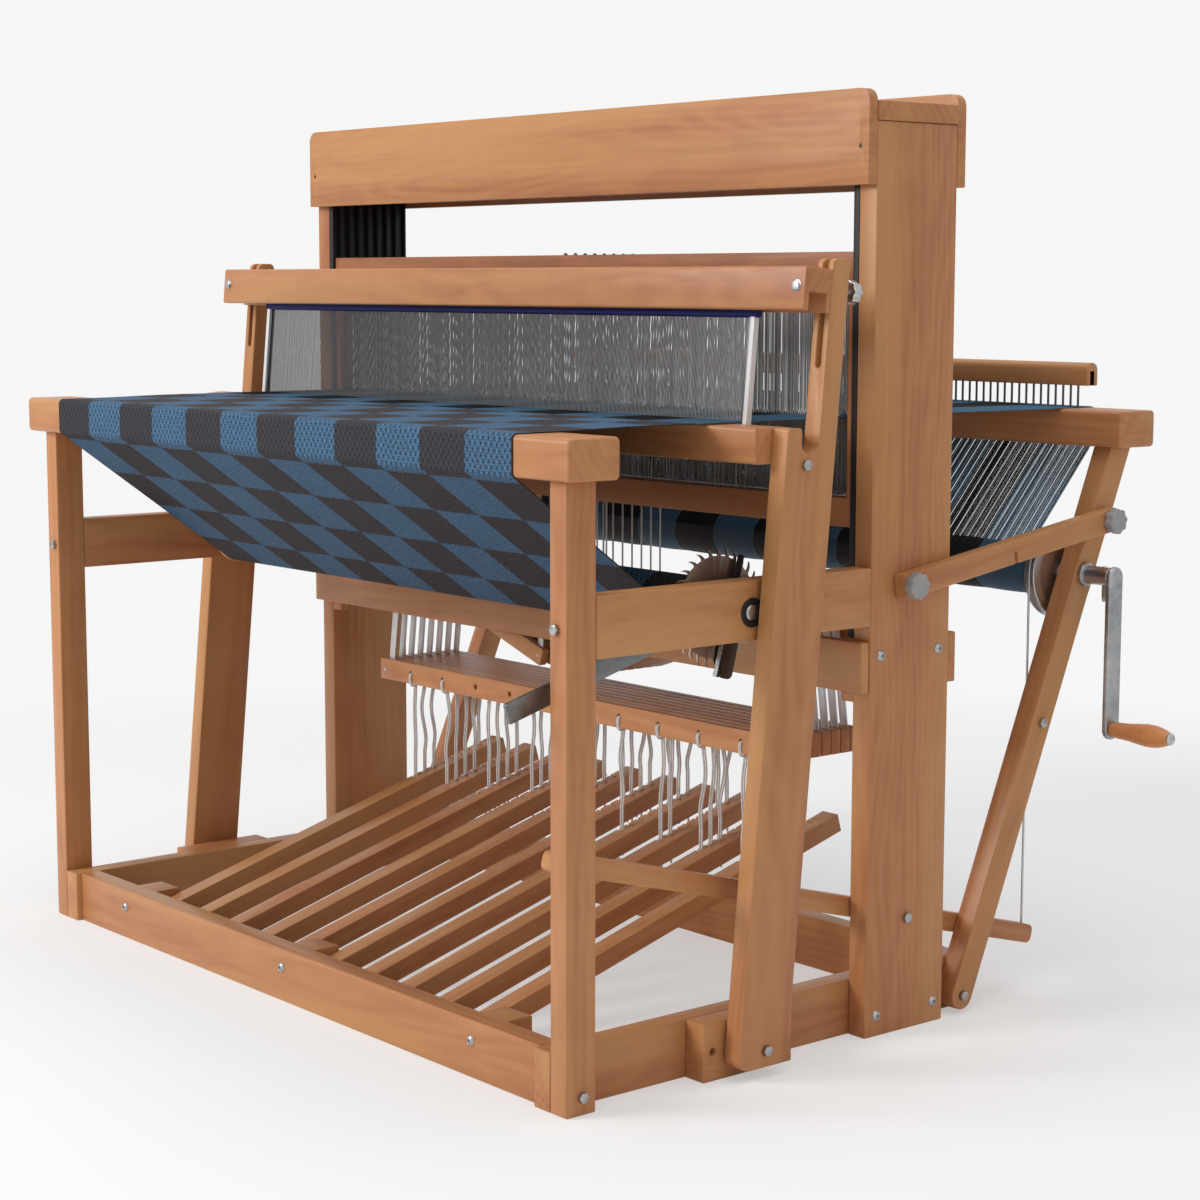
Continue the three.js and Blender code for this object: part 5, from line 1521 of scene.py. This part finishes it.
def evenly(route, step):
    """The same route with places no further apart than step."""
    line = [route[0]]
    for last, following in zip(route, route[1:]):
        run = Vector(following) - Vector(last)
        count = max(1, math.ceil(run.length / step))
        line += [tuple(Vector(last) + run * (k + 1) / count) for k in range(count)]
    return line


def sheet_mesh(name, route, half_width, start_at):
    """Sheet along a route in Y and Z. Its weave vector holds metres across from the middle and along."""
    lengths = [0.0]
    for last, following in zip(route, route[1:]):
        lengths.append(lengths[-1] + (Vector(following) - Vector(last)).length)
    zero = min(zip(route, lengths), key=lambda pair: (Vector(pair[0]) - Vector(start_at)).length)[1]
    bm = bmesh.new()
    layer = bm.verts.layers.float_vector.new("weave")
    grid = []
    for (y, z), length in zip(route, lengths):
        line = []
        for k in range(CLOTH_COLUMNS + 1):
            x = half_width * (2 * k / CLOTH_COLUMNS - 1)
            vert = bm.verts.new(at(x, y, z))
            vert[layer] = Vector((x, length - zero, 0)) / 1000
            line.append(vert)
        grid.append(line)
    for near, far in zip(grid, grid[1:]):
        for k in range(CLOTH_COLUMNS):
            bm.faces.new((near[k], near[k + 1], far[k + 1], far[k]))
    thing = to_object(name, bm, CLOTH_ANGLE)
    thickness = thing.modifiers.new("thick", "SOLIDIFY")
    thickness.thickness = size(CLOTH_THICK)
    thickness.offset = 0
    thing.data = evaluated(thing)
    smoothed(thing.data, CLOTH_ANGLE)
    return thing, lengths[-1]


reach = BEAM_ROUND + SEAT
front_low = arc((BEAM_FRONT + BEAM_ROUND, BEAM_BOTTOM + BEAM_ROUND), reach, 235, 180, 8)
front_top = arc((BEAM_FRONT + BEAM_ROUND, BEAM_TOP - BEAM_ROUND), reach, 180, 90, 10)
wrap = arc(CLOTH_AXLE, CLOTH_ROLL + SEAT, -78, -125.6, 8)
flat_top = [(BEAM_FRONT + BEAM_DEPTH, BEAM_TOP + SEAT), (RISE_AT, WEB_HEIGHT), (FELL, WEB_HEIGHT)]
cloth_route = evenly(wrap + front_low + front_top + flat_top, 12)
cloth, cloth_length = sheet_mesh("cloth", cloth_route, CLOTH_HALF * 1000, (ROW_START, BEAM_TOP + SEAT))
place(cloth, "frame", CLOTH, ["woven_web"])
size(cloth_length)


def roll_surface(name, profile, centre):
    """Turned surface whose weave vector holds metres across and metres round it."""
    roll = turned(name, profile, *centre, 72)
    radius = size(profile[len(profile) // 2][1])
    flat = []
    for vertex in roll.data.vertices:
        local = vertex.co - at(0, *centre)
        flat += [local.x, math.atan2(local.z, local.y) * radius, 0]
    carry(roll.data, "weave", flat)
    return roll


ends = [(-517.2, 12), (-517.2, 31.5), (-516, 33)]
profile = ends + [(-516 + 1032 * k / 24, 33) for k in range(1, 24)] + [(-a, r) for a, r in reversed(ends)]
place(roll_surface("cloth_roll", profile, CLOTH_AXLE), "cloth_beam", CLOTH)
told("cloth")

# %% [markdown]
# ## Warp
# Past the fell the warp runs as single threads, through the reed and the heddles' eyes, between the raddle's
# pins, round the back beam and down to its roll. The threads are tubes along lines, one line each, in groups
# of seven between two pins.

# %% Warp threads
GROUPS = 81
GROUP_THREADS = 7
THREAD_STEP = 1.70
THREAD_STRAY = 0.12
THREAD = 0.76
THREAD_SEAT = 0.8
BEND_FROM = 613.0
BEND_SLOPE = 0.45
BEND_STEPS = 8
BEND_FALL = 1.7
WARP_DARK = ((0.006, 0.006, 0.008), (0.020, 0.020, 0.024))
WARP_BLUE = ((0.045, 0.125, 0.215), (0.095, 0.205, 0.320))


def make_warp():
    material, g = surface("warp_thread")
    twist = noise(g, object_place(g), 900.0, 1.0)
    colours = [blended(g, twist, *tones) for tones in (WARP_DARK, WARP_BLUE)]
    return finish(material, g, {
        "Specular IOR Level": 0.3, "Base Color": blended(g, stripe_of(carried(g, "across", "Fac")), *colours),
        "Roughness": twist * 0.2 + 0.62,
        "Normal": bumped(g, twist, 0.3, 0.0003),
    })


WARP = make_warp()
turn_round = BEAM_ROUND + THREAD_SEAT
beam_top = arc((BACK_BEAM[1] - BEAM_ROUND, BEAM_TOP - BEAM_ROUND), turn_round, 90, 0, 5)
beam_low = arc((BACK_BEAM[1] - BEAM_ROUND, BEAM_BOTTOM + BEAM_ROUND), turn_round, 0, -40, 3)
down = Vector(WARP_AXLE) - Vector(beam_low[-1])
touch = math.degrees(math.atan2(-down.y, -down.x) + math.acos((WARP_ROLL + THREAD_SEAT) / down.length))
roll_touch = arc(WARP_AXLE, WARP_ROLL + THREAD_SEAT, touch, touch + 20, 2)
level_run = [(BEND_FROM + (BACK_BEAM[0] - BEND_FROM) * k / BEND_STEPS, WEB_HEIGHT - BEND_FALL * k / BEND_STEPS)
             for k in range(BEND_STEPS + 1)]
warp_route = [(FELL - 3, WEB_HEIGHT)] + level_run + beam_top + beam_low + roll_touch
columns = []
for group in range(GROUPS):
    centre = PIN_STEP * (group - (GROUPS - 1) / 2)
    for number in range(GROUP_THREADS):
        stray = chance.uniform(-THREAD_STRAY, THREAD_STRAY)
        columns.append(centre + THREAD_STEP * (number - (GROUP_THREADS - 1) / 2) + stray)
lines = [[(x, y, z) for y, z in warp_route] for x in columns]
warp = threads("warp_threads", lines, THREAD, WARP, 4, [x / 1000 for x in columns])
bend_reach = (BACK_BEAM[0] - BEND_FROM) / (1 + BEND_SLOPE ** 2)
bend(warp, WARP, ("frame", "back_frame"), at(0, BEND_FROM, WEB_HEIGHT),
     at(0, BEND_FROM + bend_reach, WEB_HEIGHT - BEND_SLOPE * bend_reach))

# %% Wound warp
WOUND_PITCH = 0.0018
WOUND_REACH = 513
WOUND_STEPS = 96
WOUND_DARK = ((0.005, 0.005, 0.006), (0.012, 0.012, 0.014))
WOUND_BLUE = ((0.034, 0.100, 0.185), (0.070, 0.165, 0.270))


def make_wound():
    material, g = surface("wound_warp")
    weave = carried(g, "weave")
    across, = parts_of(g, weave, 0)
    sway = drawn_noise(g, weave, (12, 30, 1), 1.0)
    fine = drawn_noise(g, weave, (1400, 60, 1), 2.0)
    # Painted shade: the colour darkens a little in the grooves between the wound threads.
    wound = (across * (2 * math.pi / WOUND_PITCH)).wave()
    colours = [blended(g, fine, *tones) for tones in (WOUND_DARK, WOUND_BLUE)]
    striped = blended(g, stripe_of(across + (sway - 0.5) * 0.012), *colours)
    return finish(material, g, {
        "Specular IOR Level": 0.4, "Base Color": blended(g, wound * 0.3, striped, (0.01, 0.012, 0.02)),
        "Roughness": fine * 0.2 + 0.55,
        "Normal": bumped(g, wound * 0.7 + fine * 0.3, 0.6, 0.0006),
    })


WOUND = make_wound()
along = [2 * WOUND_REACH * k / WOUND_STEPS for k in range(WOUND_STEPS + 1)]
swell = [(-WOUND_REACH + a, 32.4 + 0.9 * abs(math.sin(math.pi * ((a + 4) / 86.2)))) for a in along]
profile = [(-WOUND_REACH, 12)] + swell + [(WOUND_REACH, 12)]
place(roll_surface("warp_roll", profile, WARP_AXLE), "warp_beam", WOUND)
told("warp")

# %% [markdown]
# ## Tie-up cords
# Each treadle is tied to four lamms. A doubled cord loops through the lamm's hole, is knotted under the lamm
# and runs down through the treadle's kerf, where a short tail hangs out. A cord between two pieces that don't
# share a joint is drawn in two lengths: the upper one from its lamm to a still place above the treadle, and the
# lower one from there to the treadle. A cord between a lamm and a treadle that move together rides on the lamm.

# %% One cord
TREADLE_HIGH = 24.0
CORD_RADIUS = 1.4
TIE_TURNS = (0, 1, 6, 7)
STILL_ABOVE = 28.0
KERF_BEHIND = 6.0


def treadle_top(y):
    return AXLE[1] + (y - AXLE[0]) * math.tan(TREADLE_TILT) + TREADLE_HIGH / 2 / math.cos(TREADLE_TILT)


def smooth_line(places, steps=5):
    """Soft curve through the given places (Catmull-Rom)."""
    points = [Vector(p) for p in places]
    points = [2 * points[0] - points[1]] + points + [2 * points[-1] - points[-2]]
    line = []
    for a, b, c, d in zip(points, points[1:], points[2:], points[3:]):
        for k in range(steps):
            t = k / steps
            line.append(tuple(0.5 * (2 * b + (c - a) * t + (2 * a - 5 * b + 4 * c - d) * t * t
                                     + (3 * b - a - 3 * c + d) * t ** 3)))
    return line + [tuple(points[-2])]


def cord_lines(x, y, still):
    """One doubled cord as upper and lower lengths: a loop on the lamm's front, then two strands."""
    kerf = Vector((x - 9, y + KERF_BEHIND, treadle_top(y + KERF_BEHIND)))
    knot = Vector((x + 3, y - 1.5, LAMM[0] - 3.5))
    loop = [(x, y - 2, LAMM_HOLE_Z + 1), (x, y - 8.5, LAMM_HOLE_Z - 2), (x, y - 8.6, LAMM[0] + 4),
            (x + 0.6, y - 6.6, LAMM[0] - 2.2), tuple(knot)]
    sway = Vector((chance.choice((-1, 1)) * chance.uniform(1.5, 5.5), chance.uniform(-2, 2), 0))
    pair = [[Vector(p) + Vector((side * CORD_RADIUS, 0, 0)) for p in loop] for side in (-1, 1)]
    uppers, lowers = [smooth_line(p, 4) for p in pair], []
    bottom = Vector((kerf.x, kerf.y, still))
    tail = chance.uniform(8, 16)
    under = kerf - Vector((0, 0, TREADLE_HIGH * 1.1))
    for side in (-1, 1):
        apart = Vector((side * CORD_RADIUS * 1.02, side * 0.7, 0))
        run = [knot, knot.lerp(bottom, 0.35) + sway, knot.lerp(bottom, 0.75) - sway * 0.35, bottom]
        uppers.append(smooth_line([tuple(p + apart) for p in run]))
        low = [bottom, kerf + Vector((0, 0, 5)), under, under + Vector((side * 3, -3, -tail))]
        lowers.append(smooth_line([tuple(p + apart) for p in low]))
    return uppers, lowers, knot


print("cord radius", CORD_RADIUS)

# %% Cords
KNOT = [(-3, 0), (-2.6, 1.7), (-1, 2.7), (0.8, 2.8), (2.4, 1.9), (3, 0)]
knot_item = as_pattern(turned("pattern", KNOT, 0, 0, 14))
lower_of = {t: [] for t in range(TREADLES)}
for s in range(SHAFTS):
    y = FIRST_LAMM + PITCH * s
    body = f"lamm_{s + 1}"
    still = treadle_top(y + KERF_BEHIND) + STILL_ABOVE
    own, upper, knots = [], [], []
    for t in range(TREADLES):
        if (t - s) % SHAFTS not in TIE_TURNS:
            continue
        uppers, lowers, knot = cord_lines(treadle_x(t), y, still)
        knots.append((tuple(knot), (0, 0, chance.uniform(0, 3))))
        if s == t:
            own += uppers[:2] + [up + low[1:] for up, low in zip(uppers[2:], lowers)]
        else:
            upper += uppers
            lower_of[t] += lowers
    place(threads(f"tie_own_{s + 1}", own, CORD_RADIUS, CORD), body, CORD)
    place(marked(f"tie_knots_{s + 1}", knot_item, knots, CORD), body, CORD)
    bend(threads(f"tie_upper_{s + 1}", upper, CORD_RADIUS, CORD), CORD, (body, "frame"), at(0, y, LAMM[0] - 4),
         at(0, y, still))
middle_y = FIRST_LAMM + PITCH * (SHAFTS - 1) / 2
upward = Vector((0, -math.sin(TREADLE_TILT), math.cos(TREADLE_TILT))) * STILL_ABOVE * math.cos(TREADLE_TILT)
for t in range(TREADLES):
    top = Vector((treadle_x(t), middle_y, treadle_top(middle_y)))
    bend(threads(f"tie_lower_{t + 1}", lower_of[t], CORD_RADIUS, CORD), CORD, ("frame", f"treadle_{t + 1}"),
         at(*(top + upward)), at(*top))
told("cords")

# %% [markdown]
# ## Bolts and screws
# Hexagon bolts with washers hold what may turn or come apart, and barrel bolts with a dome and a socket hold
# the rest. Each kind is one pattern that a tree copies to marked places, so that a new bolt is one more place
# in a list.

# %% Fasteners
QUARTERS = {"right": 0, "back": 1, "left": 2, "front": -1}
FACES = {name: (0, 0, quarter * math.pi / 2) for name, quarter in QUARTERS.items()}
DOME = [(-0.5, 6.3), (0.5, 6.6), (1.1, 6.3), (2.3, 5.2), (3.2, 3.6), (3.4, 2.5), (3.2, 2.2), (1.2, 2.1),
        (1.2, 0)]
SCREW_HEAD = [(0, 2.8), (0.6, 2.8), (1.1, 2.1), (1.2, 0)]
washer = solid("pattern", circle(5.4, 0, 0, 32), (-0.5, 0.8), edge=0.2, steps=2)
head = solid("pattern", circle(6.6, 0, 0, 6), (0.5, 5.0), edge=0.6, steps=2)
hex_bolt = as_pattern(joined("pattern", [washer, head]))
barrel = as_pattern(turned("pattern", DOME, 0, 0, 28))
screw = as_pattern(turned("pattern", SCREW_HEAD, 0, 0, 18))


def both_sides(x, *places):
    return [((side * x, *spot), FACES[name]) for name, side in SIDES for spot in places]


def fasten(name, pattern, body, marks, material=BOLT):
    place(marked(name, pattern, marks, material), body, material)


fasten("post_bolts", hex_bolt, "frame", both_sides(HALF_WIDTH, (22, 21))
       + [((side * 572, 0, 542), FACES["front"]) for _, side in SIDES])
fasten("beater_pivot_bolts", hex_bolt, "beater", both_sides(LEG_OUTER, PIVOT))
fasten("race_bolts", hex_bolt, "beater", both_sides(LEG_OUTER, (leaning(LEG_FRONT, 708) + 31, 708)))
fasten("fold_bolts", hex_bolt, "back_frame", both_sides(HALF_WIDTH, FOLD))
fasten("leg_bolts", hex_bolt, "back_frame", both_sides(HALF_WIDTH, (back_leg_y(356), 356)))
fasten("rail_barrels", barrel, "frame", [((x, 8, 44), FACES["front"]) for x in (-404, 0, 404)]
       + [((x, RAIL_LENGTH, 44), FACES["back"]) for x in (-404, 404)])
fasten("upright_barrels", barrel, "frame", both_sides(HALF_WIDTH, (485, 26), (585, 26), (484, 470), (584, 470)))
fasten("pedal_bolt", hex_bolt, "frame", [((HALF_WIDTH, *PEDAL_AT), FACES["right"])])
for k in range(SHAFTS):
    hooks = [((0, FIRST_SHAFT + PITCH * k, SHAFT_TOP + 0.2), (0, 0, 0))]
    fasten(f"shaft_hooks_{k + 1}", knot_item, f"shaft_{k + 1}", hooks, DARK_STEEL)
deep = [((x, FACE_FRONT[0] + 3, z), FACES["front"]) for x, z in SCREW_AT]
deep += [((x, FACE_BACK[1] - 3, z), FACES["back"]) for x, z in SCREW_AT]
fasten("top_screws", screw, "frame", deep, DARK_STEEL)
told("fasteners")

# %% Close
for pattern in patterns:
    bpy.data.objects.remove(pattern)
